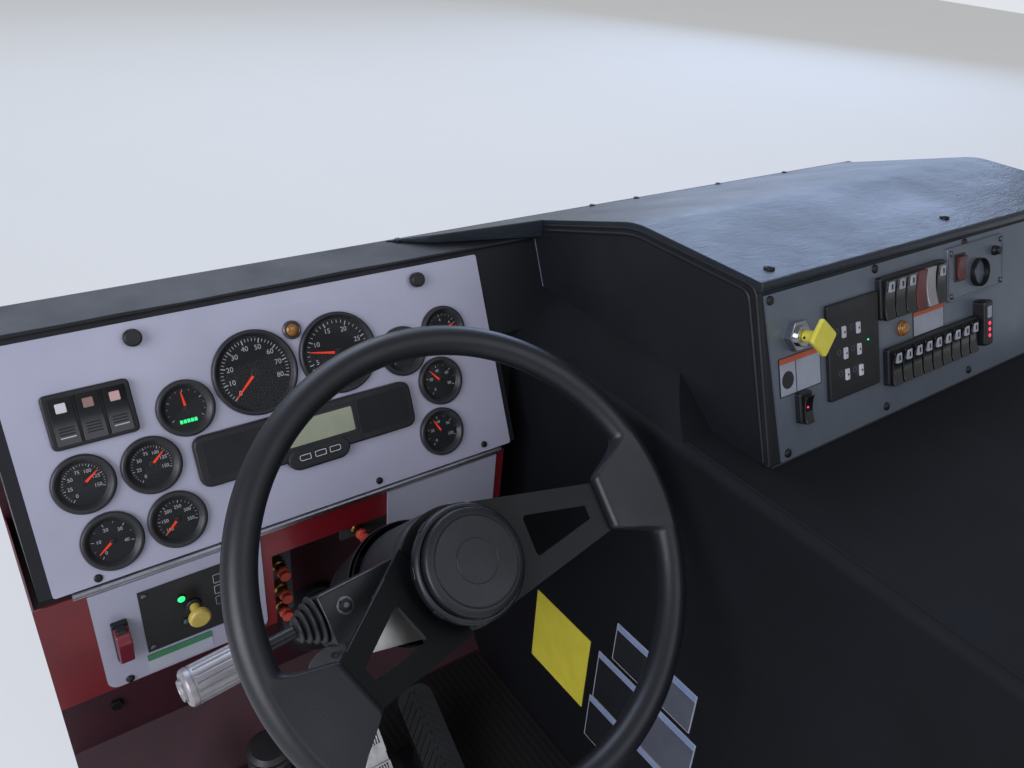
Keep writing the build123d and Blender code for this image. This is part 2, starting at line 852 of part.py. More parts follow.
def lower_panels_node():
    """Silver plates on the apron, their lower corners rounded."""
    plates = []
    for left, right, corner in lower_panels:
        plate = slab(left, right, -lower_panel_thickness, 0, lower_panel_bottom, lower_panel_top)
        lowest = plate.edges().filter_by(Axis.Y).sort_by(Axis.Z)[:2]
        plates.append(fillet(lowest, corner))
    return Compound(children=plates)


def shift_plate():
    """Black plate for the pump shift control."""
    left, right, bottom, top = shift_plate_box
    return slab(left, right, -plate_out, -lower_panel_thickness, bottom, top)


def shift_knob():
    """Yellow knob of the pump shift on its stem."""
    x, z = shift_knob_place
    place = on_apron(x, z, plate_out)
    stem = Cylinder(shift_stem_radius, shift_knob_reach, align=from_foot)
    head = Pos(0, 0, shift_knob_reach - shift_knob_depth) * Cylinder(
        shift_knob_radius, shift_knob_depth, align=from_foot)
    head = fillet(head.edges().filter_by(GeomType.CIRCLE), shift_knob_edge)
    collar = Cylinder(shift_knob_radius, shift_collar_depth, align=from_foot)
    return place * (stem + head + collar)


def indicator_lamps():
    """Round lamps of the shift plate and of the rear switch panel."""
    lamps = []
    for x, z in shift_lamps:
        lamp = Cylinder(shift_lamp_radius, shift_lamp_height, align=from_foot)
        lamps.append(on_apron(x, z, plate_out) * lamp)
    across, down = amber_lamp_place
    low = switch_panel_thickness
    lamps.append(disc_on(on_rear, across, -down, amber_lamp_radius, low, low + amber_lamp_height))
    return Compound(children=lamps)


def guarded_switch():
    """Toggle switch under a flip guard."""
    x, z = guard_place
    width, height = guard_size
    low = z - height / 2
    out = lower_panel_thickness
    base = slab(x - width / 2, x + width / 2, -out - guard_base, -out, low, low + height)
    outline = [(-out - reach, low + share * height) for share, reach in guard_outline]
    outline = outline + [(-out - guard_base, low + height), (-out - guard_base, low)]
    return base + side_profile(outline, x - width / 2 + guard_wall, x + width / 2 - guard_wall)


def column_jacket():
    """Fixed column tube with the yoke and the pivot pin that carry the tilting head."""
    outer = yoke_inner + yoke_wall
    tube = Pos(0, 0, jacket_end) * Cylinder(jacket_radius, yoke_bottom - jacket_end, align=from_foot)
    body = tube + Pos(0, 0, yoke_bottom) * Box(2 * outer, 2 * yoke_radius, yoke_bridge, align=from_foot)
    for side in (-1, 1):
        x = side * (yoke_inner + yoke_wall / 2)
        arm = Pos(x, 0, yoke_bottom) * Box(
            yoke_wall, 2 * yoke_radius, tilt_pivot - yoke_bottom, align=from_foot)
        eye = Pos(x, 0, tilt_pivot) * Cylinder(yoke_radius, yoke_wall, rotation=(0, 90, 0))
        body = body + arm + eye
    pin = Cylinder(tilt_pin_radius, 2 * outer + 2 * pin_overhang, rotation=(0, 90, 0))
    return on_column * (body + Pos(0, 0, tilt_pivot) * pin)


def column_cover():
    """Tapered cover over the lower column, open at its mouth for the tilting shroud."""
    t = cover_wall
    outline = [
        (cover_mouth_radius, cover_mouth),
        (cover_end_radius, cover_end),
        (jacket_radius, cover_end),
        (jacket_radius, cover_end + t),
        (cover_end_radius - t, cover_end + t),
        (cover_mouth_radius - t, cover_mouth),
    ]
    return turned(outline, on_column)


def column_boot():
    """Boot where the column meets the front wall, and the folded boot on the floor."""
    top = wall_height + wall_boot_length
    past = wall_boot_radius
    outline = [
        (jacket_radius, wall_height - past),
        (wall_boot_radius, wall_height - past),
        (wall_boot_radius, wall_height + wall_boot_length / 2),
        (wall_boot_top, top),
        (jacket_radius, top),
    ]
    wall_boot = turned(outline, on_column) - slab(
        -beyond, beyond, wall_y, beyond, -beyond, beyond)
    aside, y = floor_boot_place
    step = floor_boot_height / floor_boot_rings
    folds = [(0, 0)]
    for index in range(floor_boot_rings):
        folds.append((floor_boot_radius, step * (index + 0.2)))
        folds.append((floor_boot_radius, step * (index + 0.5)))
        folds.append((floor_boot_radius - floor_boot_fold, step * (index + 0.85)))
    folds.append((0, floor_boot_height))
    floor_boot = turned(folds, Pos(wheel_x + aside, y, floor_z))
    return Compound(children=[wall_boot, floor_boot])


def column_head():
    """Head casting that carries the shaft and turns on the pivot pin."""
    foot = tilt_pivot - head_below_pivot
    core = Pos(0, 0, foot) * Cylinder(head_radius, head_top - foot, align=from_foot)
    core = core + Pos(0, 0, head_top - head_collar_height) * Cylinder(
        head_radius + head_collar, head_collar_height, align=from_foot)
    core = core - Pos(0, 0, tilt_pivot) * Cylinder(
        tilt_pin_radius + running_gap, 4 * head_radius, rotation=(0, 90, 0))
    bore = Pos(0, 0, shaft_end - head_collar) * Cylinder(
        shaft_radius + running_gap, head_top - shaft_end + 2 * head_collar, align=from_foot)
    return on_column * (core - bore)


def shroud_section():
    """Half section of the shroud, its skirt on spheres round the pivot."""
    r = shroud_radius
    inside = shroud_radius - shroud_wall
    top = head_top + shroud_top_wall
    foot = tilt_pivot - shroud_skirt
    half = shroud_skirt / 2
    with BuildSketch(Plane.XZ) as section:
        with BuildLine():
            Polyline(
                (inside, tilt_pivot), (inside, head_top), (head_radius, head_top), (head_radius, top),
                (r - shroud_edge, top), (r, top - shroud_edge), (r, tilt_pivot),
            )
            ThreePointArc(
                (r, tilt_pivot),
                (sqrt(r * r - half * half), tilt_pivot - half),
                (sqrt(r * r - shroud_skirt * shroud_skirt), foot),
            )
            Line(
                (sqrt(r * r - shroud_skirt * shroud_skirt), foot),
                (sqrt(inside * inside - shroud_skirt * shroud_skirt), foot),
            )
            ThreePointArc(
                (sqrt(inside * inside - shroud_skirt * shroud_skirt), foot),
                (sqrt(inside * inside - half * half), tilt_pivot - half),
                (inside, tilt_pivot),
            )
        make_face()
    return section.sketch


def column_shroud():
    """Round shroud over the head, with the switch box on its left side."""
    shroud = revolve(shroud_section(), Axis.Z)
    low = box_height - box_depth / 2
    box = Pos((box_left - box_inside) / 2, (box_bottom + box_top) / 2, low) * Box(
        -box_left - box_inside, box_top - box_bottom, box_depth, align=from_foot)
    box = chamfer(box.faces().sort_by(Axis.X)[0].edges(), box_edge)
    box = box - Pos(0, 0, low - shroud_wall) * Cylinder(
        shroud_radius, box_depth + 2 * shroud_wall, align=from_foot)
    x, y = box_bolt_place
    bolt = Pos(x, y, low + box_depth) * extrude(RegularPolygon(box_bolt_radius, 6), amount=box_bolt_height)
    return on_column * (shroud + Rot(0, 0, box_turn) * (box + bolt))


def lever_boot():
    """Rubber bellows between the switch box and the lever."""
    length = box_left - boot_tip
    step = length / boot_ring_count
    points = [(lever_radius, 0)]
    for index in range(boot_ring_count):
        radius = boot_base_radius + (boot_tip_radius - boot_base_radius) * index / boot_ring_count
        points.append((radius, step * index))
        points.append((radius, step * (index + 0.6)))
        points.append((radius - boot_fold, step * (index + 0.8)))
    points.append((boot_tip_radius, length))
    points.append((lever_radius, length))
    return turned(points, on_lever)


def signal_lever():
    """Multi-function lever: stem, fluted handle and stepped end cap."""
    start = box_left - handle_start
    end = box_left - handle_end
    last = box_left - handle_cap
    step_in, step_along = cap_step
    r = handle_radius
    outline = [
        (0, 0),
        (lever_radius, 0),
        (lever_radius, start - handle_neck),
        (r, start),
        (r, end),
        (r - step_in, end),
        (r - step_in, end + step_along),
        (r - button_step, end + step_along),
        (r - button_step, last),
        (0, last),
    ]
    lever = revolve(Plane.XZ * Polygon(*outline, align=None), Axis.Z)
    groove = Pos(handle_radius, 0, start + handle_plain) * Cylinder(
        handle_flute, end - start - handle_plain, align=from_foot)
    for index in range(handle_flute_count):
        lever = lever - Rot(0, 0, 360 / handle_flute_count * index) * groove
    return on_lever * lever


def spoke_place(side):
    """Turns the X direction of the wheel onto a spoke: side is 1 at the right and -1 at the left."""
    return Rot(0, 0, -spoke_droop if side > 0 else 180 + spoke_droop)


def wheel_boss(side):
    """Moulded boss between a spoke's end and the rim, flared along the rim."""
    near = ring_radius - rim_tube_radius / 2
    outline = [
        (boss_start, -boss_inner),
        (boss_start, boss_inner),
        (near, boss_upper_flare),
        (ring_radius, boss_upper_flare - boss_corner),
        (ring_radius, boss_corner - boss_lower_flare),
        (near, -boss_lower_flare),
    ]
    outline = [(x, side * y) for x, y in outline]
    face = fillet(Polygon(*outline, align=None).vertices().sort_by(Axis.X)[:2], boss_corner)
    body = Pos(0, 0, boss_rise - boss_thickness) * extrude(face, amount=boss_thickness, dir=(0, 0, 1))
    root = body.faces().sort_by(Axis.X)[0]
    body = chamfer(root.edges().filter_by(Axis.Y), boss_edge)
    return spoke_place(side) * body


def wheel_rim():
    """Round rim with its two moulded bosses, which take the ends of the spokes."""
    rim = Torus(ring_radius, rim_tube_radius)
    for side in (1, -1):
        rim = rim + wheel_boss(side)
    return on_wheel * (rim - spoke_arm(1) - spoke_arm(-1))


def spoke_arm(side):
    """One flat tapered spoke with its hole, rising from the spider's disc to the rim."""
    run = spoke_end - spoke_start
    length = hypot(run, dish)
    taper = (spoke_root - spoke_tip) / length
    outline = [(0, -spoke_root), (length, -spoke_tip), (length, spoke_tip), (0, spoke_root)]
    near = spoke_hole_start - spoke_start
    far = spoke_hole_end - spoke_start
    near_half = spoke_root - taper * near - spoke_frame
    far_half = spoke_root - taper * far - spoke_frame
    hole = Polygon((near, -near_half), (far, -far_half), (far, far_half), (near, near_half), align=None)
    hole = fillet(hole.vertices().sort_by(Axis.X)[:2], spoke_hole_corner)
    cutter = Pos(0, 0, -spoke_thickness) * extrude(hole, amount=3 * spoke_thickness, dir=(0, 0, 1))
    arm = raised(outline, spoke_thickness) - cutter
    lean = -Vector(run, 0, dish).get_angle(Vector(1, 0, 0))
    return spoke_place(side) * Pos(spoke_start, 0, spider_top) * Rot(0, lean, 0) * arm


def wheel_spokes():
    """Pressed spider: disc under the hub and two spokes."""
    foot = spider_top - spoke_thickness + 1
    disc = Pos(0, 0, foot) * Cylinder(spider_radius, spoke_thickness, align=from_foot)
    arms = spoke_arm(1) + spoke_arm(-1)
    arms = arms - Pos(0, 0, foot) * Cylinder(hub_foot_radius + running_gap, dish, align=from_foot)
    return on_wheel * (disc + arms)


def wheel_hub():
    """Horn pad: stepped round hub with its ringed cap and the lugs of its fasteners."""
    low = spider_top + 1
    r = hub_radius
    c = cap_radius
    shoulder = low + hub_shoulder
    outline = [
        (0, low),
        (hub_foot_radius, low),
        (hub_foot_radius, low + hub_foot),
        (r, low + hub_flare),
        (r, low + hub_side),
        (r - hub_edge, shoulder),
        (c + cap_groove, shoulder),
        (c + cap_groove, shoulder - cap_groove),
        (c, shoulder - cap_groove),
        (c, cap_top - cap_edge),
        (c - cap_edge, cap_top),
        (c - cap_ring, cap_top),
        (c - cap_ring - cap_ring_depth, cap_top - cap_ring_depth),
        (c - cap_ring - 2 * cap_ring_depth, cap_top),
        (0, cap_top),
    ]
    hub = turned(outline, on_wheel)
    wide, high, proud = lug_size
    lug = Pos(r - proud, 0, low + hub_flare - high / 4) * Box(2 * proud, wide, high / 2, align=from_foot)
    for index in range(lug_count):
        hub = hub + on_wheel * Rot(0, 0, 360 / lug_count * (index + 0.5)) * lug
    return hub


def steering_shaft():
    """Upper shaft that runs in the head, with the flange that carries the spider."""
    top = spider_top - spoke_thickness + 1
    flange = Pos(0, 0, top - shaft_flange) * Cylinder(shaft_flange_radius, shaft_flange, align=from_foot)
    shaft = Pos(0, 0, shaft_end) * Cylinder(shaft_radius, top - shaft_end, align=from_foot)
    return on_column * (shaft + flange)


def brake_pedal():
    """Ribbed brake pad on its arm and floor bracket."""
    width, height, thickness = brake_pad_size
    rib_width, rib_height = brake_rib
    pad = Pos(0, -brake_pad_drop, 0) * Box(width, height, thickness)
    pad = fillet(pad.edges().filter_by(Axis.Z), brake_pad_corner)
    low, high, depth = brake_groove
    pad = pad - slab(-width, width, low, high, thickness / 2 - depth, thickness)
    for index in range(brake_rib_count):
        x = -width / 2 + width * (index + 1) / (brake_rib_count + 1)
        for low, high in brake_rib_groups:
            pad = pad + slab(
                x - rib_width / 2, x + rib_width / 2, low, high, thickness / 2, thickness / 2 + rib_height)
    aside, y, z = brake_place
    x = wheel_x + aside
    pad = Pos(x, y, z) * Rot(brake_pad_tilt, 0, 0) * pad
    near, far = brake_arm_run
    arm = [(y + forward, z + up) for forward, up in brake_arm_top]
    arm = arm + [
        (y + far, floor_z + brake_arm_foot),
        (y + far, floor_z),
        (y + near, floor_z),
        (y + near, floor_z + brake_arm_foot),
        (y + near / 2, z - near),
    ]
    pad = pad + side_profile(arm, x - brake_arm_width / 2, x + brake_arm_width / 2)
    wide, deep, thick = bracket_size
    return pad + slab(x - wide / 2, x + wide / 2, y, y + deep, floor_z, floor_z + thick)


def accelerator_pedal():
    """Floor-hinged treadle with chevron ribs on its base plate."""
    width, length, thickness = treadle_size
    rib_width, rib_height = treadle_rib
    treadle = Box(width, length, thickness)
    treadle = fillet(treadle.edges().filter_by(Axis.Z), treadle_corner)
    rib_length = (width / 2 - rib_width) / cos(radians(treadle_rib_slant))
    rib = Box(rib_length, rib_width, rib_height, align=from_foot)
    pitch = (length - 2 * treadle_rib_margin) / (treadle_rib_count - 1)
    for index in range(treadle_rib_count):
        y = -length / 2 + treadle_rib_margin + pitch * index
        for side in (-1, 1):
            turn = Rot(0, 0, -side * treadle_rib_slant)
            treadle = treadle + Pos(side * width / 4, y, thickness / 2) * turn * rib
    aside, y, z = treadle_place
    x = wheel_x + aside
    treadle = Pos(x, y, z) * Rot(treadle_tilt, 0, 0) * treadle
    wide, deep = treadle_prop
    prop = slab(x - wide / 2, x + wide / 2, y + deep / 3, y + deep * 4 / 3, floor_z, z + thickness)
    base = slab(
        x - width / 2, x + width / 2, y - length / 2, y + 2 * deep, floor_z, floor_z + bracket_size[2])
    wide, deep, high = treadle_heel
    heel_y = y - length / 2 + treadle_heel_inset
    heel = slab(x - wide / 2, x + wide / 2, heel_y, heel_y + deep, floor_z, floor_z + high)
    return treadle + prop + base + heel


def air_fittings_node():
    """Push-in air fittings on a bracket behind the column opening."""
    near = fitting_plate_y
    far = near + fitting_plate_thickness
    left = opening_left - fitting_arm
    right = opening_right + fitting_arm
    margin = fitting_plate_margin
    top = opening_top - margin
    left_aside, left_z = air_fittings[2]
    right_aside, right_z = air_fittings[3]
    left_end_x = wheel_x + left_aside + margin
    right_start_x = wheel_x + right_aside - margin
    bracket = slab(left, right, near, far, top, apron_top)
    bracket = bracket + slab(left, left_end_x, near, far, left_z - margin, top)
    bracket = bracket + slab(right_start_x, right, near, far, right_z - margin, top)
    for x in (left, right - fitting_plate_thickness):
        bracket = bracket + slab(x, x + fitting_plate_thickness, sheet, far, top, apron_top)
    nut_radius, nut_length = fitting_nut
    for aside, z in air_fittings:
        place = on_apron(wheel_x + aside, z, -near)
        bracket = bracket + place * extrude(RegularPolygon(nut_radius, 6), amount=nut_length)
        bracket = bracket + place * Cylinder(fitting_radius, near - fitting_reach, align=from_foot)
    return bracket


def console_section(bottom):
    """Side outline of the console down to a given height."""
    rear_slope = rear_run / rear_rise
    return Plane.YZ * Polygon(
        (console_rear_bottom_y - rear_slope * (cover_top - bottom), bottom),
        (console_rear_top_y, console_top),
        (console_bend_y, console_top),
        (wall_y, console_top + top_slope * (wall_y - console_bend_y)),
        (wall_y, bottom),
        align=None,
    )


def console_shell():
    """Vinyl-covered console on the engine cover, open below and behind its switch panel."""
    shell = Pos(console_left, 0, 0) * extrude(console_section(cover_top), amount=console_width, dir=(1, 0, 0))
    corners = shell.edges().filter_by(lambda edge: edge.center().Y < console_rear_top_y)
    shell = fillet(corners.filter_by(Axis.X, reverse=True), console_edge)
    hollow = offset(console_section(cover_top - 3 * console_wall), -console_wall, kind=Kind.INTERSECTION)
    hollow = extrude(hollow, amount=console_width - 2 * console_wall, dir=(1, 0, 0))
    shell = shell - Pos(console_left + console_wall, 0, 0) * hollow
    left_top, left_bottom, right = switch_panel_insets
    margin = switch_opening_margin
    return shell - plate_on(
        on_rear, left_bottom + margin, console_width - right - margin,
        margin - switch_panel_drop - switch_panel_height, -switch_panel_drop - margin,
        -2 * margin, margin)


def console_top_pad():
    """Padded skin on the console's top, with its wing over the dash top."""
    front_z = console_top + top_slope * (wall_y - console_bend_y)
    t = skin_thickness
    outline = [
        (console_rear_top_y - skin_overhang, console_top),
        (console_bend_y, console_top),
        (wall_y, front_z),
        (wall_y, front_z + t),
        (console_bend_y, console_top + t),
        (console_rear_top_y - skin_overhang, console_top + t),
    ]
    skin = side_profile(outline, console_left, console_right)
    upper = upper_faces(skin).edges()
    rear_rim = upper.filter_by(Axis.X).sort_by(Axis.Y)[0]
    skin = fillet(upper.filter_by(Axis.X, reverse=True) + [rear_rim], skin_edge)
    knee_x = console_left - wing_knee[0]
    wing = raised(
        [
            (console_left - wing_reach, wall_y),
            (knee_x, wing_knee[1]),
            (console_left, wing_root_y),
            (console_left, wall_y),
        ],
        console_top - front_z,
    )
    wing = Pos(0, 0, pad_top) * wing
    lid = Plane(origin=(console_left - wing_reach, wall_y, pad_top), z_dir=wing_normal())
    wing = wing - lid.location * Box(beyond, beyond, beyond, align=from_foot)
    return skin + wing


def upper_faces(solid):
    """Faces whose slope is under 60 degrees and that look upwards."""
    return solid.faces().filter_by(lambda face: face.normal_at().Z > cos(radians(60)))


def top_height(y):
    """Height of the console's top under its skin at a forward place."""
    return console_top + min(0.0, top_slope * (y - console_bend_y))


def wing_normal():
    """Upward normal of the wing's lid, through its tip, its root and the windscreen edge."""
    along = Vector(wing_reach, 0, 0)
    forward = Vector(0, wall_y - wing_root_y, pad_top - skin_thickness - top_height(wing_root_y))
    return along.cross(forward)


def rear_box(box, low, high, corner=0.0):
    """A block on the rear switch panel: box is its left, right, top and bottom."""
    left, right, top, bottom = box
    return plate_on(on_rear, left, right, -bottom, -top, low, high, corner)


def switch_panel():
    """Silver switch panel on the console's sloping rear, with the brake valve's nut."""
    top = -switch_panel_drop
    bottom = top - switch_panel_height
    left_top, left_bottom, right = switch_panel_insets
    outline = [
        (left_top, top),
        (left_bottom, bottom),
        (console_width - right, bottom),
        (console_width - right, top),
    ]
    plate = on_rear * raised(outline, switch_panel_thickness)
    across, down = socket_place
    plate = plate - disc_on(on_rear, across, -down, socket_outer + hole_gap, -socket_depth, socket_depth)
    across, down = brake_valve_place
    place = on_rear * Pos(across, -down, switch_panel_thickness)
    nut = extrude(RegularPolygon(valve_nut_size / 2, 6, major_radius=False), amount=valve_nut_height)
    collar = Cylinder(valve_collar_radius, valve_collar_height, align=from_foot)
    return plate + place * (nut + collar)


def brake_knob():
    """Yellow diamond knob of the parking brake on its flared stem."""
    across, down = brake_valve_place
    place = on_rear * Pos(across, -down, switch_panel_thickness + valve_collar_height)
    flare_radius, flare_length = valve_flare
    stem = Cylinder(valve_stem_radius, valve_reach, align=from_foot)
    flare = Pos(0, 0, valve_reach - flare_length) * Cone(
        valve_stem_radius, flare_radius, flare_length, align=from_foot)
    diamond = Rot(0, 0, 45) * RectangleRounded(diamond_size, diamond_size, diamond_corner)
    head = Pos(0, 0, valve_reach) * extrude(diamond, amount=diamond_thickness)
    return place * (stem + flare + head)


def control_block():
    """Black control block with its push buttons."""
    high = switch_panel_thickness + control_block_height
    wide, tall, proud = control_button
    block = rear_box(control_block_box, switch_panel_thickness, high, control_block_corner)
    for across, down in control_buttons:
        box = (across - wide / 2, across + wide / 2, down - tall / 2, down + tall / 2)
        block = block + rear_box(box, high, high + proud)
    return block


def switch_rows():
    """Rows of rocker switches in their frames, and the tall end module."""
    low = switch_panel_thickness
    high = low + row_height
    parts = []
    for first, down, count, pitch, width, height in rocker_rows:
        frame = (
            first - pitch / 2 - row_frame,
            first + pitch * (count - 0.5) + row_frame,
            down - height / 2 - row_frame,
            down + height / 2 + row_frame,
        )
        row = rear_box(frame, low, high, row_corner)
        for index in range(count):
            across = first + pitch * index
            row = row + on_rear * rocker_key(
                across - width / 2, across + width / 2,
                rocker_inset - down - height / 2, height / 2 - down - rocker_inset, high, rocker_rises)
        parts.append(row)
    parts.append(rear_box(end_piece_box, low, low + end_piece_height, row_corner))
    return Compound(children=parts)


def socket_plate():
    """Small plate with the power socket, its switch and a knob."""
    low = switch_panel_thickness
    high = low + socket_plate_thickness
    rim_width, rim_height = socket_rim
    across, down = socket_place
    plate = rear_box(socket_plate_box, low, high, socket_plate_corner)
    plate = plate + disc_on(on_rear, across, -down, socket_outer + rim_width, high, high + rim_height)
    plate = plate + disc_on(on_rear, across, -down, socket_outer, high - socket_depth, high)
    plate = plate - disc_on(
        on_rear, across, -down, socket_bore, high - socket_depth + socket_floor, high + socket_depth)
    plate = plate + rear_box(socket_switch_box, high, high + socket_switch_height)
    across, down = socket_knob_place
    radius, height = socket_knob
    return plate + disc_on(on_rear, across, -down, radius, high, high + height)


def engine_cover():
    """Insulated engine cover between the seats, open below and in front."""
    outer = slab(cover_left, cover_right, cover_rear, wall_y, base_z, cover_top)
    outer = fillet(outer.edges().filter_by(Axis.Y).group_by(Axis.Z)[-1], cover_edge)
    rear_top = outer.edges().filter_by(Axis.X).group_by(Axis.Y)[0].sort_by(Axis.Z)[-1]
    outer = chamfer(rear_top, cover_rear_edge)
    return outer - slab(
        cover_left + cover_skin, cover_right - cover_skin, cover_rear + cover_skin, beyond,
        -beyond, cover_top - cover_skin)


def cover_shoulder():
    """Moulded shoulder between the cover's left edge, the console's side and the dash face."""
    foot = cover_top - cover_edge
    bulge_x, bulge_z = shoulder_bulge
    with BuildSketch(Plane.XZ) as section:
        with BuildLine():
            Line((console_left, foot), (console_left, shoulder_top))
            ThreePointArc(
                (console_left, shoulder_top),
                (cover_left + bulge_x, cover_top + bulge_z),
                (cover_left, foot),
            )
            Line((cover_left, foot), (console_left, foot))
        make_face()
    length = wall_y - shoulder_rear_bottom
    body = Pos(0, wall_y, 0) * extrude(section.sketch, amount=length, dir=(0, -1, 0))
    body = body - on_face * Box(beyond * 2, beyond * 2, beyond, align=(Align.CENTER, Align.CENTER, Align.MAX))
    lean = (shoulder_rear_top - shoulder_rear_bottom) / (shoulder_top - cover_top)
    high = shoulder_top + console_gap
    wedge = [
        (shoulder_rear_bottom, foot - cover_edge),
        (shoulder_rear_bottom, cover_top),
        (shoulder_rear_bottom + lean * (high - cover_top), high),
        (shoulder_rear_bottom - console_gap, high),
        (shoulder_rear_bottom - console_gap, foot - cover_edge),
    ]
    return body - side_profile(wedge, cover_left, console_left + console_gap) - engine_cover()


def side_signs_node():
    """Bare sign and overlapping bare cards on the cover's left side."""
    plates = []
    for rear, front, bottom, top in side_signs:
        plates.append(slab(cover_left - sign_thickness, cover_left, rear, front, bottom, top))
    return Compound(children=plates)


nodes = {
    "floor_pan": floor_pan,
    "floor_mat": floor_mat,
    "front_wall": front_wall,
    "apron": apron,
    "hinge_fixed_leaf": hinge_fixed_leaf,
    "hinge_moving_leaf": hinge_moving_leaf,
    "dash_body": dash_body,
    "dash_top_pad": dash_top_pad,
    "instrument_panel": instrument_panel,
    "gauge_bezels": gauge_bezels,
    "gauge_cans": gauge_cans,
    "gauge_needles": gauge_needles,
    "gauge_lenses": gauge_lenses,
    "display_housing": display_housing,
    "rocker_bank": rocker_bank,
    "panel_latches": panel_latches,
    "warning_lamp": warning_lamp,
    "lower_panels": lower_panels_node,
    "shift_plate": shift_plate,
    "shift_knob": shift_knob,
    "indicator_lamps": indicator_lamps,
    "guarded_switch": guarded_switch,
    "column_jacket": column_jacket,
    "column_cover": column_cover,
    "column_boot": column_boot,
    "column_head": column_head,
    "column_shroud": column_shroud,
    "lever_boot": lever_boot,
    "signal_lever": signal_lever,
    "wheel_rim": wheel_rim,
    "wheel_spokes": wheel_spokes,
    "wheel_hub": wheel_hub,
    "steering_shaft": steering_shaft,
    "brake_pedal": brake_pedal,
    "accelerator_pedal": accelerator_pedal,
    "air_fittings": air_fittings_node,
    "console_shell": console_shell,
    "console_top_pad": console_top_pad,
    "switch_panel": switch_panel,
    "brake_knob": brake_knob,
    "control_block": control_block,
    "switch_rows": switch_rows,
    "socket_plate": socket_plate,
    "engine_cover": engine_cover,
    "cover_shoulder": cover_shoulder,
    "side_signs": side_signs_node,
}

os.makedirs("parts", exist_ok=True)
for name, build in nodes.items():
    export_step(assembly_shift * build(), "parts/" + name + ".step")
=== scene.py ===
import logging
from dataclasses import dataclass
from enum import Enum

import bmesh
import bpy
import numpy as np
from mathutils import Matrix


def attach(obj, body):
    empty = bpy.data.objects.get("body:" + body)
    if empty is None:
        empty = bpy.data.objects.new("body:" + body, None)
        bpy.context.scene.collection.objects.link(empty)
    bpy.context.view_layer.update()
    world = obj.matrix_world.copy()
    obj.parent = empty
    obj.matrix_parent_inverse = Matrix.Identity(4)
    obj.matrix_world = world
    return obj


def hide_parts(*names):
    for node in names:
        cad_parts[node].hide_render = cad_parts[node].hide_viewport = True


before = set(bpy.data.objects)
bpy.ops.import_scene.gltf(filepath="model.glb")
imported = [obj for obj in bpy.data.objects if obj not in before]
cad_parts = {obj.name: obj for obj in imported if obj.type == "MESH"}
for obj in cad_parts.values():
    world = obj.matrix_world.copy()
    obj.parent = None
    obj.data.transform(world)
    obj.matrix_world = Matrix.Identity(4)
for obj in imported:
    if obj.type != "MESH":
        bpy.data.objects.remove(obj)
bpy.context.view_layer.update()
LOG = logging.getLogger("driver_dashboard")

# Places are millimetres from the left end of the dash hinge line: X right, Y forward, Z up.
# This is that point in the model's frame.
HINGE_END = np.array([-713, 309, 506])
MM = 0.001


class Grain(Enum):
    """How a surface was made, which decides its fine relief."""

    SMOOTH = "smooth"
    LEATHER = "leather"
    CREASED = "creased"
    MOULDED = "moulded"
    BRUSHED = "brushed"
    CAST = "cast"
    RIBBED = "ribbed"


@dataclass(frozen=True)
class Finish:
    """One material: colours as sRGB hex, sizes in millimetres.

    patch_mm is the size of the patches between the two colours, grain_mm the size of the relief and
    relief_mm its height. dust is how much pale dust lies on faces that look up, and sheen how strongly
    the surface mirrors, 0.5 on plain paint or plastic and less on a matt grain.
    """

    name: str
    colour: str
    second: str
    roughness: float
    grain: Grain = Grain.MOULDED
    grain_mm: float = 1.6
    relief_mm: float = 0.12
    patch_mm: float = 60.0
    rough_spread: float = 0.12
    metallic: float = 0.0
    coat: float = 0.0
    alpha: float = 1.0
    glow: float = 0.0
    dust: float = 0.0
    sheen: float = 0.5


def smooth(
    name: str, colour: str, second: str, roughness: float, patch_mm: float = 20.0, **more: float
) -> Finish:
    """A finish without relief, as ink, film and small lenses have; more holds its other fields."""
    return Finish(name, colour, second, roughness, Grain.SMOOTH, relief_mm=0.0, patch_mm=patch_mm, **more)


# Coach paint on sheet steel: deep gloss, slightly rippled, dusty in a working cab.
COACH_RED = Finish(
    "coach_red", "#74141E", "#620F18", 0.34, Grain.SMOOTH, 14, 0.05, 90, 0.10, coat=0.25, dust=0.10)
# The same red paint on the front wall and the floor pan, painted darker as shade under the dash.
WALL_RED_PAINTED_SHADE = Finish("wall_red_painted_shade", "#3B1520", "#2C0F18", 0.55, Grain.CAST, 3, 0.05, 80, dust=0.04)
# Powder-coated aluminium sheet: flat satin with a faint lavender cast and a fine tooth.
PANEL_SILVER = Finish(
    "coated_aluminium", "#B4B5C6", "#ABACBD", 0.42, Grain.MOULDED, 1.2, 0.015, 160, 0.06, metallic=0.25)
# Brushed stainless strip: fine lines along its length.
STAINLESS = Finish(
    "brushed_stainless", "#A9A9B2", "#92929B", 0.34, Grain.BRUSHED, 1, 0.02, 30, metallic=1.0)
# Brushed plate of the switch console, a little scuffed; its darker, bluish tone is painted shade.
SWITCH_SHEET_PAINTED_SHADE = Finish(
    "switch_sheet_painted_shade", "#767F8A", "#69727D", 0.36, Grain.BRUSHED, 1.6, 0.015, 120, 0.10, metallic=0.55)
# Expanded vinyl over padding: pebble grain, satin, with wear where hands rest.
DASH_VINYL = Finish(
    "dash_vinyl", "#1A1C21", "#131519", 0.46, Grain.LEATHER, 2.4, 0.16, 70, 0.14, dust=0.02, sheen=0.35)
# The same vinyl pulled over the console top, where it has gone into creases; its blue tint is a painted
# reflection of the sky.
TOP_VINYL_PAINTED_SKY_TINT = Finish(
    "console_top_vinyl_painted_sky_tint", "#15212C", "#0E1822", 0.42, Grain.CREASED, 8, 1.1, 110, 0.12, sheen=0.6)
# Grained charcoal vinyl on the engine cover: matt and a shade darker.
COVER_VINYL = Finish(
    "cover_vinyl", "#111318", "#0D0F13", 0.72, Grain.LEATHER, 2.8, 0.20, 140, 0.10, dust=0.01, sheen=0.2)
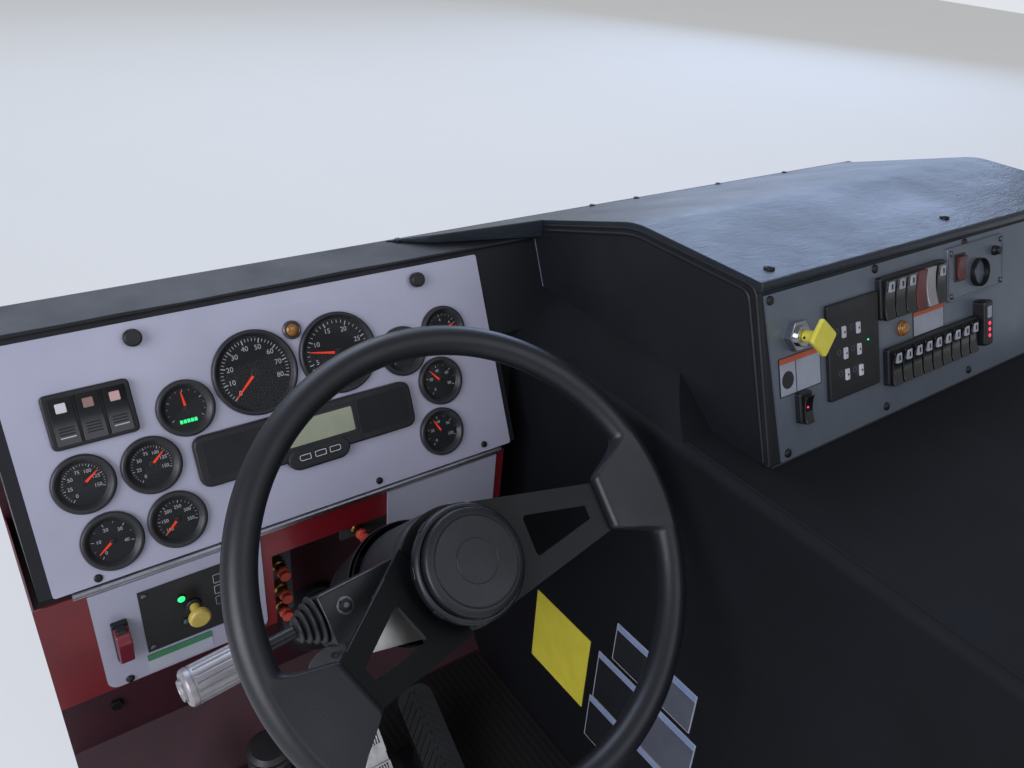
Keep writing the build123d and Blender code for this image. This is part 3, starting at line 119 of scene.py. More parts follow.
# Injection-moulded ABS: fine spark-eroded texture, polished on the rockers.
BLACK_ABS = Finish("black_abs", "#16171A", "#101114", 0.42, Grain.MOULDED, 1.4, 0.05, 40)
RIM_BLACK = Finish("gauge_rim_black", "#2A2B2E", "#222326", 0.38, Grain.MOULDED, 1, 0.02, 30)
DIAL_BLACK = Finish("dial_print_black", "#101114", "#0D0E11", 0.6, Grain.MOULDED, 0.8, 0.01, 30)
GLOSS_BLACK = Finish("gloss_black", "#121316", "#0E0F12", 0.16, Grain.SMOOTH, 8, 0.01, 40, 0.05, coat=0.3)
# Screen-printed ink on dials and buttons: matt and even.
DIAL_WHITE = smooth("dial_print_white", "#C9CCD0", "#BFC2C6", 0.6, 30)
OUTLINE_WHITE = smooth("printed_white", "#C4C7CB", "#B8BBC0", 0.5)
# Fluorescent paint on the pointers, given a painted glow that makes them shine though they are no lamp.
NEEDLE_ORANGE_PAINTED_GLOW = smooth("needle_orange_painted_glow", "#F0401C", "#E83A18", 0.5, 30, glow=0.25)
# Flat cover of clear polycarbonate over each gauge, and the glass of the display.
CLEAR_LENS = smooth("clear_cover", "#0C0F14", "#0C0F14", 0.04, 30, rough_spread=0.0, alpha=0.06)
SCREEN_GREY = smooth("liquid_crystal", "#99A085", "#8F967C", 0.25, 30, coat=0.3)
# Moulded acrylic lenses of rockers and lamps: satin, the lit ones brighter than the light on them.
LENS_WHITE = smooth("lens_white", "#DADCDD", "#CDCFD2", 0.35)
LENS_BROWN = smooth("lens_brown", "#9C7A72", "#8E6D66", 0.35)
LENS_PINK = smooth("lens_pink", "#CFA9A4", "#C29B96", 0.35)
LENS_RED = smooth("lens_dark_red", "#5E2A28", "#522321", 0.35)
LENS_SILVER = smooth("lens_silver", "#A4A9AF", "#8F949A", 0.25, 12, coat=0.3)
LENS_AMBER = smooth("lens_amber", "#9A6A2C", "#7C5220", 0.18, 8, coat=0.5)
DARK_GREEN = smooth("unlit_green", "#27473A", "#1F3A2F", 0.3, coat=0.4)
GLOW_GREEN = smooth("lit_green", "#2BE07C", "#24D874", 0.4, glow=1.4)
GLOW_RED = smooth("lit_red", "#FF3355", "#FF2A4C", 0.4, glow=1.6)
# Moulded knobs and the flip guard: glossy nylon, paler where it is handled.
KNOB_YELLOW = Finish("knob_yellow", "#C9B45A", "#BDA74F", 0.38, Grain.MOULDED, 2, 0.02, 12, coat=0.2)
VALVE_YELLOW = Finish("valve_yellow", "#DAD24E", "#CFC644", 0.36, Grain.MOULDED, 2, 0.02, 16, coat=0.2)
GUARD_RED = Finish("guard_nylon_red", "#7A2233", "#6A1C2A", 0.38, Grain.MOULDED, 1.6, 0.03, 20, coat=0.2)
# Grained polypropylene cowl over the column, greyed by light and dust.
COLUMN_PLASTIC = Finish(
    "cowl_polypropylene", "#202227", "#191B1F", 0.45, Grain.MOULDED, 1.8, 0.07, 60, dust=0.05)
# Cast iron of the column, under a thin grey primer.
CAST_GREY = Finish("cast_iron_grey", "#5A5B5E", "#4B4C4F", 0.55, Grain.CAST, 3, 0.18, 30, metallic=0.4)
# Neoprene boots: satin black with dust in the folds.
BOOT_RUBBER = Finish("boot_neoprene", "#1E1F22", "#17181A", 0.48, Grain.MOULDED, 1.6, 0.05, 30, dust=0.06)
# Satin metallic paint on the signal lever.
HANDLE_SILVER = Finish(
    "lever_satin_paint", "#A9A7AA", "#98969A", 0.38, Grain.MOULDED, 1.2, 0.02, 30, metallic=0.5)
# Integral-skin urethane of the wheel: fine leather grain, matt, polished where it is held.
WHEEL_SKIN = Finish("wheel_urethane", "#181A1F", "#121419", 0.42, Grain.LEATHER, 2, 0.16, 90, 0.12)
# Spoke plate under black satin enamel.
SPOKE_ENAMEL = Finish(
    "spoke_enamel", "#0B0C0F", "#08090B", 0.40, Grain.MOULDED, 1.2, 0.03, 60, 0.08, sheen=0.3)
# Bare pressed steel, brushed by sleeves and shoes.
BARE_STEEL = Finish(
    "bare_steel", "#B0AFAA", "#A09F9A", 0.36, Grain.BRUSHED, 1.4, 0.03, 30, metallic=0.85)
# Rolled aluminium pedal pad, scuffed by boots.
PEDAL_METAL = Finish(
    "pedal_aluminium", "#C8C8C6", "#A6A6A4", 0.40, Grain.BRUSHED, 1.6, 0.05, 18, metallic=0.8)
# Turned brass bodies of the air fittings, and the acetal collars that release them.
FITTING_BRASS = Finish(
    "fitting_brass", "#B08A52", "#94703E", 0.30, Grain.BRUSHED, 1, 0.02, 10, metallic=1.0)
FITTING_RED = smooth("fitting_acetal_red", "#E8604A", "#D8523D", 0.40)
# Chrome-plated nut of the parking brake valve.
CHROME = Finish("chrome_plate", "#C6C9CE", "#AEB2B8", 0.14, Grain.SMOOTH, 2, 0.01, 12, 0.08, metallic=1.0)
# Ribbed rubber of the floor mat: dull, with dust between the ribs.
MAT_RUBBER = Finish(
    "ribbed_floor_rubber", "#141416", "#0F0F11", 0.75, Grain.RIBBED, 6, 0.5, 120, dust=0.03, sheen=0.25)
# Printed vinyl film and laminated paper of the bare signs, cards and labels.
SIGN_YELLOW = smooth("sign_film_yellow", "#E6DC4B", "#DDD244", 0.45, 40)
CARD_WHITE = smooth("card_white", "#B2B6BF", "#A6AAB4", 0.5, 40)
CARD_BLACK = smooth("card_black", "#202227", "#1A1C20", 0.45, 40)
CARD_BLUE = smooth("card_blue", "#8CA0C4", "#7F93B8", 0.5, 40)
# Label paper greyed partly for its printed text and partly as painted shade.
LABEL_PAPER_PAINTED_SHADE = smooth("label_paper_painted_shade", "#989DA8", "#8D929D", 0.5, 40)
LABEL_PRINT = smooth("label_print", "#5D626C", "#555A64", 0.5, 40)
LABEL_GREEN = smooth("label_green", "#3F7E58", "#39744F", 0.5, 40)
LABEL_ORANGE = smooth("label_orange", "#B4573A", "#A84E33", 0.5, 40)
# Machine screws: black oxide, or plated steel.
SCREW_BLACK = smooth("screw_black", "#26272A", "#1D1E21", 0.34, 8, metallic=0.5)
SCREW_STEEL = smooth("screw_steel", "#6E6F72", "#5D5E61", 0.32, 8, metallic=0.9)
# Seamless background paper.
STUDIO_PALE = smooth("studio_paper", "#A4A5A5", "#A2A3A3", 0.9, 900, rough_spread=0.0, glow=1.0)

# Finishes of the CAD nodes that stay in view.
NODE_FINISHES = {
    "floor_pan": WALL_RED_PAINTED_SHADE,
    "floor_mat": MAT_RUBBER,
    "front_wall": WALL_RED_PAINTED_SHADE,
    "apron": COACH_RED,
    "hinge_fixed_leaf": STAINLESS,
    "hinge_moving_leaf": STAINLESS,
    "dash_body": DASH_VINYL,
    "instrument_panel": PANEL_SILVER,
    "gauge_cans": DIAL_BLACK,
    "warning_lamp": LENS_AMBER,
    "lower_panels": PANEL_SILVER,
    "shift_plate": BLACK_ABS,
    "guarded_switch": GUARD_RED,
    "column_jacket": CAST_GREY,
    "column_head": CAST_GREY,
    "column_boot": BOOT_RUBBER,
    "wheel_spokes": SPOKE_ENAMEL,
    "steering_shaft": BARE_STEEL,
    "brake_pedal": PEDAL_METAL,
    "accelerator_pedal": BLACK_ABS,
    "switch_panel": SWITCH_SHEET_PAINTED_SHADE,
    "control_block": BLACK_ABS,
    "switch_rows": BLACK_ABS,
    "socket_plate": BLACK_ABS,
    "engine_cover": COVER_VINYL,
    # The shoulder faces the light, so it takes the darker, matt cover vinyl as painted shade.
    "cover_shoulder": COVER_VINYL,
    "side_signs": CARD_WHITE,
}

# What all materials share: the dust's colour, the varnish's roughness, how strongly relief shows, and
# the two levels of the patches' noise between which the colours and the roughness run.
DUST_COLOUR = "#8E8A82"
COAT_ROUGHNESS = 0.15
LEAST_ROUGHNESS = 0.02
RELIEF_STRENGTH = 0.7
COLOUR_BAND = (0.35, 0.65)
ROUGH_BAND = (0.3, 0.7)
# The upward share of a face's direction from which dust settles on it.
DUST_FROM = 0.2


def linear(code: str) -> tuple[float, float, float, float]:
    """Turns an sRGB hex colour into linear light, by the sRGB curve of each channel.

    Args:
        code: A colour such as "#A0B0C0".

    Returns:
        Red, green, blue and an alpha of 1.
    """
    channels = np.array([int(code[i:i + 2], 16) for i in (1, 3, 5)]) / 255
    low = channels / 12.92
    high = ((channels + 0.055) / 1.055) ** 2.4
    return (*np.where(channels <= 0.04045, low, high).tolist(), 1)


def add_node(
    tree: bpy.types.NodeTree, kind: str, inputs: dict | None = None, **settings: object
) -> bpy.types.Node:
    """Adds a shader node with its settings, values and links.

    Args:
        tree: The node tree.
        kind: The node's type, without the ShaderNode before it.
        inputs: Sockets by name or number; an output socket is linked, anything else is set.
        settings: Attributes of the node.

    Returns:
        The new node.
    """
    node = tree.nodes.new("ShaderNode" + kind)
    for name, value in settings.items():
        setattr(node, name, value)
    for name, value in (inputs or {}).items():
        if isinstance(value, bpy.types.NodeSocket):
            tree.links.new(value, node.inputs[name])
        else:
            node.inputs[name].default_value = value
    return node


def relief(tree: bpy.types.NodeTree, finish: Finish, point: bpy.types.NodeSocket) -> bpy.types.NodeSocket:
    """Builds the height pattern of a finish.

    Args:
        tree: The node tree.
        finish: The finish whose grain is drawn.
        point: The surface point in metres.

    Returns:
        The socket that carries the height, about 0 to 1.
    """
    per_metre = 1 / (finish.grain_mm * MM)
    if finish.grain is Grain.LEATHER:
        # Pebbles, their height varied by a noise about three times as wide.
        warp = add_node(tree, "TexNoise", {"Vector": point, "Scale": per_metre * 0.3, "Detail": 3.0})
        cells = add_node(
            tree, "TexVoronoi", {"Vector": point, "Scale": per_metre, "Randomness": 0.9}, feature="SMOOTH_F1")
        mixed = add_node(
            tree, "Math", {0: cells.outputs["Distance"], 1: warp.outputs["Fac"]}, operation="MULTIPLY")
        return mixed.outputs[0]
    if finish.grain is Grain.CREASED:
        # Creases run askew across the piece, about three times as long as wide.
        stretched = add_node(
            tree, "Mapping", {"Vector": point, "Rotation": (0, 0, 0.5), "Scale": (0.35, 1, 1)})
        noise = add_node(
            tree, "TexNoise",
            {"Vector": stretched.outputs[0], "Scale": per_metre, "Detail": 5, "Roughness": 0.62,
             "Distortion": 0.6})
        return noise.outputs["Fac"]
    if finish.grain is Grain.RIBBED:
        bands = add_node(
            tree, "TexWave", {"Vector": point, "Scale": per_metre / 6}, bands_direction="X")
        return bands.outputs["Fac"]
    detail = {Grain.BRUSHED: 3.0, Grain.CAST: 5.0}.get(finish.grain, 2.0)
    if finish.grain is Grain.BRUSHED:
        # Lines about thirty times as long as wide.
        point = add_node(tree, "Mapping", {"Vector": point, "Scale": (0.03, 1, 1)}).outputs[0]
    noise = add_node(tree, "TexNoise", {"Vector": point, "Scale": per_metre, "Detail": detail})
    return noise.outputs["Fac"]


MADE: dict[Finish, bpy.types.Material] = {}


def material(finish: Finish) -> bpy.types.Material:
    """Makes the node material of a finish, once.

    Args:
        finish: The finish.

    Returns:
        The Blender material.
    """
    if finish in MADE:
        return MADE[finish]
    made = bpy.data.materials.new(finish.name)
    MADE[finish] = made
    made.use_nodes = True
    tree = made.node_tree
    shader = tree.nodes["Principled BSDF"]
    coordinates = add_node(tree, "TexCoord")
    point = coordinates.outputs["Object"]
    patches = add_node(
        tree, "TexNoise",
        {"Vector": point, "Scale": 1 / (finish.patch_mm * MM), "Detail": 5, "Roughness": 0.6})
    blotch = add_node(
        tree, "MapRange",
        {"Value": patches.outputs["Fac"], "From Min": COLOUR_BAND[0], "From Max": COLOUR_BAND[1]})
    # A Mix node holds its two colour sockets after the ones for numbers and vectors, as 6 and 7.
    colour = add_node(
        tree, "Mix",
        {"Factor": blotch.outputs["Result"], 6: linear(finish.colour), 7: linear(finish.second)},
        data_type="RGBA")
    paint = colour.outputs[2]
    if finish.dust:
        upward = add_node(tree, "SeparateXYZ", {0: coordinates.outputs["Normal"]})
        settled = add_node(
            tree, "MapRange",
            {"Value": upward.outputs["Z"], "From Min": DUST_FROM, "From Max": 1, "To Max": finish.dust})
        spread = add_node(
            tree, "Math", {0: settled.outputs["Result"], 1: patches.outputs["Fac"]}, operation="MULTIPLY")
        dusty = add_node(
            tree, "Mix", {"Factor": spread.outputs[0], 6: paint, 7: linear(DUST_COLOUR)}, data_type="RGBA")
        paint = dusty.outputs[2]
    tree.links.new(paint, shader.inputs["Base Color"])
    rough = add_node(
        tree, "MapRange",
        {"Value": patches.outputs["Fac"], "From Min": ROUGH_BAND[0], "From Max": ROUGH_BAND[1],
         "To Min": max(finish.roughness - finish.rough_spread / 2, LEAST_ROUGHNESS),
         "To Max": finish.roughness + finish.rough_spread / 2})
    tree.links.new(rough.outputs["Result"], shader.inputs["Roughness"])
    shader.inputs["Metallic"].default_value = finish.metallic
    shader.inputs["Coat Weight"].default_value = finish.coat
    shader.inputs["Coat Roughness"].default_value = COAT_ROUGHNESS
    if not finish.metallic:
        shader.inputs["Specular IOR Level"].default_value = finish.sheen
    if finish.alpha < 1:
        shader.inputs["Alpha"].default_value = finish.alpha
    if finish.glow:
        shader.inputs["Emission Color"].default_value = linear(finish.colour)
        shader.inputs["Emission Strength"].default_value = finish.glow
    if finish.relief_mm:
        height = relief(tree, finish, point)
        bump = add_node(
            tree, "Bump", {"Height": height, "Strength": RELIEF_STRENGTH, "Distance": finish.relief_mm * MM})
        tree.links.new(bump.outputs["Normal"], shader.inputs["Normal"])
    return made


@dataclass(frozen=True)
class Place:
    """A place with its own directions: across, up and out of a face, and its origin in millimetres."""

    origin: tuple[float, float, float]
    across: tuple[float, float, float]
    up: tuple[float, float, float]

    def axes(self) -> np.ndarray:
        """Unit vectors of this place; out is the cross product of across and up.

        Returns:
            Across, up and out, as rows.
        """
        across = np.array(self.across) / np.linalg.norm(self.across)
        up = np.array(self.up) / np.linalg.norm(self.up)
        return np.stack([across, up, np.cross(across, up)])

    def world(self, points: np.ndarray) -> np.ndarray:
        """Local millimetres to metres in the model's frame: origin plus each direction by its share."""
        return (points @ self.axes() + np.array(self.origin) + HINGE_END) * MM

    def shifted(self, across: float, up: float, out: float) -> "Place":
        """The same directions from a point given in this place's own measures."""
        moved = np.array([across, up, out]) @ self.axes() + np.array(self.origin)
        return Place(tuple(moved), self.across, self.up)

    def turned(self, degrees: float) -> "Place":
        """This place turned about its own out direction.

        Args:
            degrees: The angle, anticlockwise when seen from outside.

        Returns:
            The turned place.
        """
        angle = np.radians(degrees)
        axes = self.axes()
        across = np.cos(angle) * axes[0] + np.sin(angle) * axes[1]
        up = np.cos(angle) * axes[1] - np.sin(angle) * axes[0]
        return Place(self.origin, tuple(across), tuple(up))


# Lean of the instrument panel from upright, rise of the column from level, and the wheel's own turn.
PANEL_TILT = np.radians(25.5)
AXIS_RISE = np.radians(46.9)
WHEEL_TURN = 11.5
CAB = Place((0, 0, 0), (1, 0, 0), (0, 1, 0))
PANEL = Place((0, 0, 0), (1, 0, 0), (0, np.sin(PANEL_TILT), np.cos(PANEL_TILT)))
APRON = Place((0, 0, 0), (1, 0, 0), (0, 0, 1))
COLUMN = Place((325.5, -255, 101.8), (1, 0, 0), (0, np.sin(AXIS_RISE), np.cos(AXIS_RISE)))
WHEEL = COLUMN.turned(WHEEL_TURN)
# The switch panel leans forward by this run over this rise, and lies this far up its slope.
REAR_RUN, REAR_RISE = 69.0, 181.0
REAR_STEP = 5.0
REAR = Place((645, -250, 309), (1, 0, 0), (0, REAR_RUN, REAR_RISE)).shifted(0, REAR_STEP, 0)
# Across is backward here and out is to the left, on the engine cover's left side.
COVER_SIDE = Place((590, 0, 0), (0, -1, 0), (0, 0, 1))
# Face of the front wall behind the dash, forward of the hinge line.
WALL = 163.0


@dataclass
class Patch:
    """A stretch of surface: points in millimetres and faces as lists of point numbers."""

    points: np.ndarray
    faces: list

    def at(self, across: float = 0.0, up: float = 0.0, out: float = 0.0, turn: float = 0.0) -> "Patch":
        """This patch turned about the out direction, then moved.

        Args:
            across: How far it moves across.
            up: How far it moves up.
            out: How far it moves out.
            turn: The angle in degrees, anticlockwise.

        Returns:
            The moved patch.
        """
        angle = np.radians(turn)
        spin = np.array([[np.cos(angle), np.sin(angle), 0], [-np.sin(angle), np.cos(angle), 0], [0, 0, 1]])
        return Patch(self.points @ spin + np.array([across, up, out]), self.faces)

    def sideways(self) -> "Patch":
        """This patch laid over: out becomes across, across becomes up and up becomes out."""
        return Patch(self.points[:, [2, 0, 1]], self.faces)


# Two rounded corners on one side don't meet: each takes less than half of it.
CORNER_SHARE = 0.48
# Points nearer than this, in millimetres, are one point.
SAME_POINT = 1e-6
# An inset corner moves at most this many times further than its sides.
LEAST_LEAN = 0.4


def rounded(points: list, cut: float | list, steps: int = 5, closed: bool = True) -> np.ndarray:
    """Rounds the corners of an outline: each becomes a quadratic curve between two points at the cut.

    Args:
        points: The corners, in order.
        cut: How far from the corner the curve starts, one value or one for each corner.
        steps: Points along each curve.
        closed: Whether the outline returns to its start; an open one keeps its two ends.

    Returns:
        The points of the rounded outline, one row each.
    """
    corners = np.asarray(points, float)
    back = np.roll(corners, 1, axis=0) - corners
    ahead = np.roll(corners, -1, axis=0) - corners
    back_length = np.linalg.norm(back, axis=1)
    ahead_length = np.linalg.norm(ahead, axis=1)
    reach = np.minimum(np.broadcast_to(np.asarray(cut, float), len(corners)), CORNER_SHARE * back_length)
    reach = np.minimum(reach, CORNER_SHARE * ahead_length)
    if not closed:
        reach[[0, -1]] = 0
    start = corners + back / back_length[:, None] * reach[:, None]
    end = corners + ahead / ahead_length[:, None] * reach[:, None]
    t = np.linspace(0, 1, steps)[None, :, None]
    curve = (1 - t) ** 2 * start[:, None] + 2 * t * (1 - t) * corners[:, None] + t ** 2 * end[:, None]
    line = curve.reshape(-1, corners.shape[1])
    kept = np.ones(len(line), bool)
    kept[1:] = np.linalg.norm(np.diff(line, axis=0), axis=1) > SAME_POINT
    return line[kept]


def rectangle(
    left: float, right: float, bottom: float, top: float, corner: float = 0.0, steps: int = 5
) -> np.ndarray:
    """The outline of a rectangle with rounded corners, anticlockwise."""
    return rounded([(left, bottom), (right, bottom), (right, top), (left, top)], corner, steps)


def circle(radius: float, steps: int) -> np.ndarray:
    """The outline of a circle: radius times the cosine and sine of equal angles."""
    angles = np.arange(steps) / steps * 2 * np.pi
    return np.column_stack([radius * np.cos(angles), radius * np.sin(angles)])


def inset(outline: np.ndarray, amount: float) -> np.ndarray:
    """Moves a closed outline inwards: each point goes along the mean normal of its two sides.

    Args:
        outline: The outline, anticlockwise.
        amount: How far its sides move.

    Returns:
        The smaller outline, point for point.
    """
    ahead = np.roll(outline, -1, axis=0) - outline
    side = np.column_stack([-ahead[:, 1], ahead[:, 0]])
    side = side / np.maximum(np.linalg.norm(side, axis=1), 1e-9)[:, None]
    mean = side + np.roll(side, 1, axis=0)
    mean = mean / np.maximum(np.linalg.norm(mean, axis=1), 1e-9)[:, None]
    lean = np.maximum(np.sum(mean * side, axis=1), LEAST_LEAN)
    return outline + mean * (amount / lean)[:, None]


def loft(rings: np.ndarray, wrap: bool = True, capped: bool = True) -> Patch:
    """Joins rings of points by quads: ring i, point j meets ring i + 1, point j + 1.

    Args:
        rings: Points by ring, by point along the ring, by direction.
        wrap: Whether each ring closes on itself.
        capped: Whether the first and the last ring are filled.

    Returns:
        The patch.
    """
    count, width = rings.shape[:2]
    first = np.arange(count - 1)[:, None] * width
    here = np.arange(width if wrap else width - 1)[None, :]
    following = (here + 1) % width
    quads = np.stack([first + here, first + following, first + width + following, first + width + here], -1)
    faces = quads.reshape(-1, 4).tolist()
    if capped:
        faces.append(list(range(width))[::-1])
        faces.append(list(range((count - 1) * width, count * width)))
    return Patch(rings.reshape(-1, 3), faces)


def prism(
    outline: np.ndarray, low: float, high: float, rim: float = 0.0, both: bool = False, steps: int = 4
) -> Patch:
    """A solid between two heights whose rim is a quarter circle: inset is one less cosine, rise the sine.

    Args:
        outline: The closed outline.
        low: Foot height.
        high: Top height.
        rim: Radius of the top rim.
        both: Whether the foot's rim is rounded too.
        steps: Points along each rim.

    Returns:
        The patch.
    """
    angles = np.linspace(0, np.pi / 2, steps if rim else 1)
    crown = [(rim * (1 - np.cos(a)), high - rim + rim * np.sin(a)) for a in angles]
    foot = [(drawn, low + high - height) for drawn, height in crown[::-1]] if both else [(0, low)]
    rings = [
        np.column_stack([inset(outline, amount), np.full(len(outline), height)])
        for amount, height in foot + crown
    ]
    return loft(np.stack(rings))


def lathe(profile: np.ndarray | list, steps: int) -> Patch:
    """Turns a profile of radius and height round the out direction.

    Args:
        profile: Pairs of radius and height; a closed profile ends where it starts.
        steps: Points round the circle.

    Returns:
        The patch, open at the profile's ends.
    """
    angles = np.arange(steps) / steps * 2 * np.pi
    profile = np.asarray(profile, float)
    rings = np.stack([
        profile[:, :1] * np.cos(angles),
        profile[:, :1] * np.sin(angles),
        np.repeat(profile[:, 1:], steps, axis=1),
    ], -1)
    return loft(rings, capped=False)


def tube(path: np.ndarray, radius: float, reference: tuple, steps: int) -> Patch:
    """Carries a circle along a path: its two directions are across the tangent and a fixed reference.

    Args:
        path: Points along the middle.
        radius: Radius of the circle.
        reference: A direction that is never along the path.
        steps: Points round the circle.

    Returns:
        The patch, with flat ends.
    """
    tangent = np.gradient(path, axis=0)
    tangent = tangent / np.linalg.norm(tangent, axis=1)[:, None]
    side = np.cross(tangent, np.array(reference, float))
    side = side / np.linalg.norm(side, axis=1)[:, None]
    rise = np.cross(side, tangent)
    angles = (np.arange(steps) / steps * 2 * np.pi)[None, :, None]
    rings = path[:, None] + radius * (np.cos(angles) * side[:, None] + np.sin(angles) * rise[:, None])
    return loft(rings)


def frame_line(outline: np.ndarray, width: float, low: float, high: float) -> Patch:
    """A flat raised line of even width just inside a closed outline.

    Args:
        outline: The outline.
        width: The line's width.
        low: Height of its foot.
        high: Height of its face.

    Returns:
        The patch.
    """
    inner = inset(outline, width)
    heights = [(outline, low), (outline, high), (inner, high), (inner, low), (outline, low)]
    rings = [np.column_stack([line, np.full(len(line), height)]) for line, height in heights]
    return loft(np.stack(rings), capped=False)


def numeral(words: str, size: float, depth: float) -> Patch:
    """Plain figures as a thin solid, centred on their origin.

    Args:
        words: The figures.
        size: Height of the type in millimetres.
        depth: How far they stand out.

    Returns:
        The patch.
    """
    curve = bpy.data.curves.new("figures", "FONT")
    curve.body = words
    curve.size = size
    curve.extrude = depth / 2
    curve.align_x = "CENTER"
    curve.align_y = "CENTER"
    curve.resolution_u = 3
    holder = bpy.data.objects.new("figures", curve)
    bpy.context.scene.collection.objects.link(holder)
    shape = bpy.data.meshes.new_from_object(holder.evaluated_get(bpy.context.evaluated_depsgraph_get()))
    points = np.zeros(len(shape.vertices) * 3)
    shape.vertices.foreach_get("co", points)
    faces = [list(polygon.vertices) for polygon in shape.polygons]
    bpy.data.objects.remove(holder)
    bpy.data.curves.remove(curve)
    bpy.data.meshes.remove(shape)
    return Patch(points.reshape(-1, 3) + np.array([0, 0, depth / 2]), faces)


def screw(radius: float, height: float) -> Patch:
    """A domed screw head: the rim falls away by a quarter ellipse from 0.4 of the height.

    Args:
        radius: Its radius.
        height: Its height.

    Returns:
        The patch, its foot at 0.
    """
    angles = np.linspace(0, np.pi / 2, 5)
    dome = np.column_stack([radius * np.cos(angles), 0.4 * height + 0.6 * height * np.sin(angles)])
    return lathe(np.vstack([[0, 0], [radius, 0], dome]), 16)


def hollow_rocker(
    sides: tuple, span: tuple, base: float, ends: tuple, hollow: float, steps: int, rim: float
) -> Patch:
    """A rocker whose face at share s of its span is between its ends' rises, less hollow times s(1 - s).

    Args:
        sides: Its left and right.
        span: Its lower and upper end.
        base: Height of the frame it sits in.
        ends: Rise of the face at its lower and its upper end.
        hollow: Four times the depth of the face in the middle.
        steps: Points along the face.
        rim: Radius of its side rims.

    Returns:
        The patch.
    """
    along = np.linspace(*span, steps)
    share = (along - span[0]) / (span[1] - span[0])
    rise = base + ends[0] + (ends[1] - ends[0]) * share - hollow * share * (1 - share)
    face = np.column_stack([along, rise])[::-1]
    outline = np.vstack([face, [(span[0], base - 1), (span[1], base - 1)]])
    return prism(outline, *sides, rim, both=True).sideways()


class Piece:
    """Patches gathered into one object that rides on one body."""

    def __init__(self, name: str, place: Place) -> None:
        """Starts an empty piece on a place.

        Args:
            name: The object's name.
            place: Where its patches lie.
        """
        self.name = name
        self.place = place
        self.points: list[np.ndarray] = []
        self.faces: list[list[int]] = []
        self.slots: list[int] = []
        self.finishes: list[Finish] = []
        self.count = 0

    def add(self, patch: Patch, finish: Finish, place: Place | None = None) -> None:
        """Adds a patch in a finish.

        Args:
            patch: The patch, in local millimetres.
            finish: Its finish.
            place: Its place, where it isn't the piece's own.
        """
        if finish not in self.finishes:
            self.finishes.append(finish)
        self.points.append((place or self.place).world(patch.points))
        self.faces.extend([[number + self.count for number in face] for face in patch.faces])
        self.slots.extend([self.finishes.index(finish)] * len(patch.faces))
        self.count += len(patch.points)

    def block(
        self, box: tuple, heights: tuple, finish: Finish, corner: float = 0.0, fine: int = 3,
        rim: float = 0.0, rim_fine: int = 4, both: bool = False, place: Place | None = None
    ) -> None:
        """Adds a rounded block over a box of left, right, bottom and top, between two heights."""
        self.add(prism(rectangle(*box, corner, fine), *heights, rim, both, rim_fine), finish, place)

    def disc(
        self, radius: float, sides: int, heights: tuple, finish: Finish, centre: tuple, rim: float = 0.0,
        place: Place | None = None
    ) -> None:
        """Adds a disc round a centre, or a nut where it has few sides, between two heights."""
        self.add(prism(circle(radius, sides), *heights, rim).at(*centre), finish, place)

    def spun(
        self, corners: list, cut: float | list, fine: int, sides: int, finish: Finish,
        centre: tuple = (0, 0)
    ) -> None:
        """Adds a turned part: the corners of its profile, as radius and height, are rounded by their cut."""
        self.add(lathe(rounded(corners, cut, fine, closed=False), sides).at(*centre), finish)

    def screws(self, places: tuple, head: tuple, face: float, finish: Finish) -> None:
        """Adds a screw head of a radius and a height at each place, standing on a face."""
        for across, up in places:
            self.add(screw(*head).at(across, up, face), finish)

    def build(
        self, slot: str, replaces: tuple = (), crease: float = 35.0, merge: bool = True,
        body: str = "cab_front"
    ) -> bpy.types.Object:
        """Makes the object: doubles merged, faces outward, smooth up to the crease angle.

        Args:
            slot: The record's material slot; not used.
            replaces: CAD nodes that it stands for.
            crease: The angle in degrees from which an edge stays sharp.
            merge: Whether points that fall together are merged.
            body: The CAD body that it rides on.

        Returns:
            The object.
        """
        mesh = bpy.data.meshes.new(self.name)
        mesh.from_pydata(np.concatenate(self.points).tolist(), [], self.faces)
        mesh.polygons.foreach_set("material_index", self.slots)
        for finish in self.finishes:
            mesh.materials.append(material(finish))
        work = bmesh.new()
        work.from_mesh(mesh)
        if merge:
            bmesh.ops.remove_doubles(work, verts=work.verts, dist=SAME_POINT)
        bmesh.ops.recalc_face_normals(work, faces=work.faces)
        work.to_mesh(mesh)
        work.free()
        mesh.shade_smooth()
        mesh.set_sharp_from_angle(angle=np.radians(crease))
        made = bpy.data.objects.new(self.name, mesh)
        bpy.context.scene.collection.objects.link(made)
        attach(made, body)
        weighted = made.modifiers.new("flat_faces", "WEIGHTED_NORMAL")
        weighted.keep_sharp = True
        if replaces:
            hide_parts(*replaces)
        LOG.info("%s: %d faces", self.name, len(mesh.polygons))
        return made


def seen_by(tree: bpy.types.NodeTree, other: str) -> bpy.types.NodeSocket:
    """The socket that is 1 for the camera's own rays and for rays of one other kind."""
    rays = add_node(tree, "LightPath").outputs
    return add_node(
        tree, "Math", {0: rays["Is Camera Ray"], 1: rays[other]}, operation="MAXIMUM").outputs[0]


@dataclass(frozen=True)
class Lamp:
    """A square area lamp: where it stands and looks, its side in metres, its power in watts, its colour."""

    name: str
    place: tuple
    target: tuple
    size: float
    power: float
    colour: str


# The middle of the dash, which most lamps look at.
MIDDLE = (0, 0.1, 0.5)
LAMPS = (
    Lamp("sky", (0.5, 4.6, 5), MIDDLE, 4.4, 200, "#D6E4FF"),
    Lamp("windscreen", (6.1, 4.6, 3.4), (0.1, 0.2, 0.8), 4.4, 190, "#BCD4FF"),
    Lamp("side", (-2.7, -0.9, 1.8), MIDDLE, 1.8, 60, "#F2F0FF"),
    Lamp("fill", (0.6, -3.2, 3), MIDDLE, 3, 34, "#EEF2FF"),
)


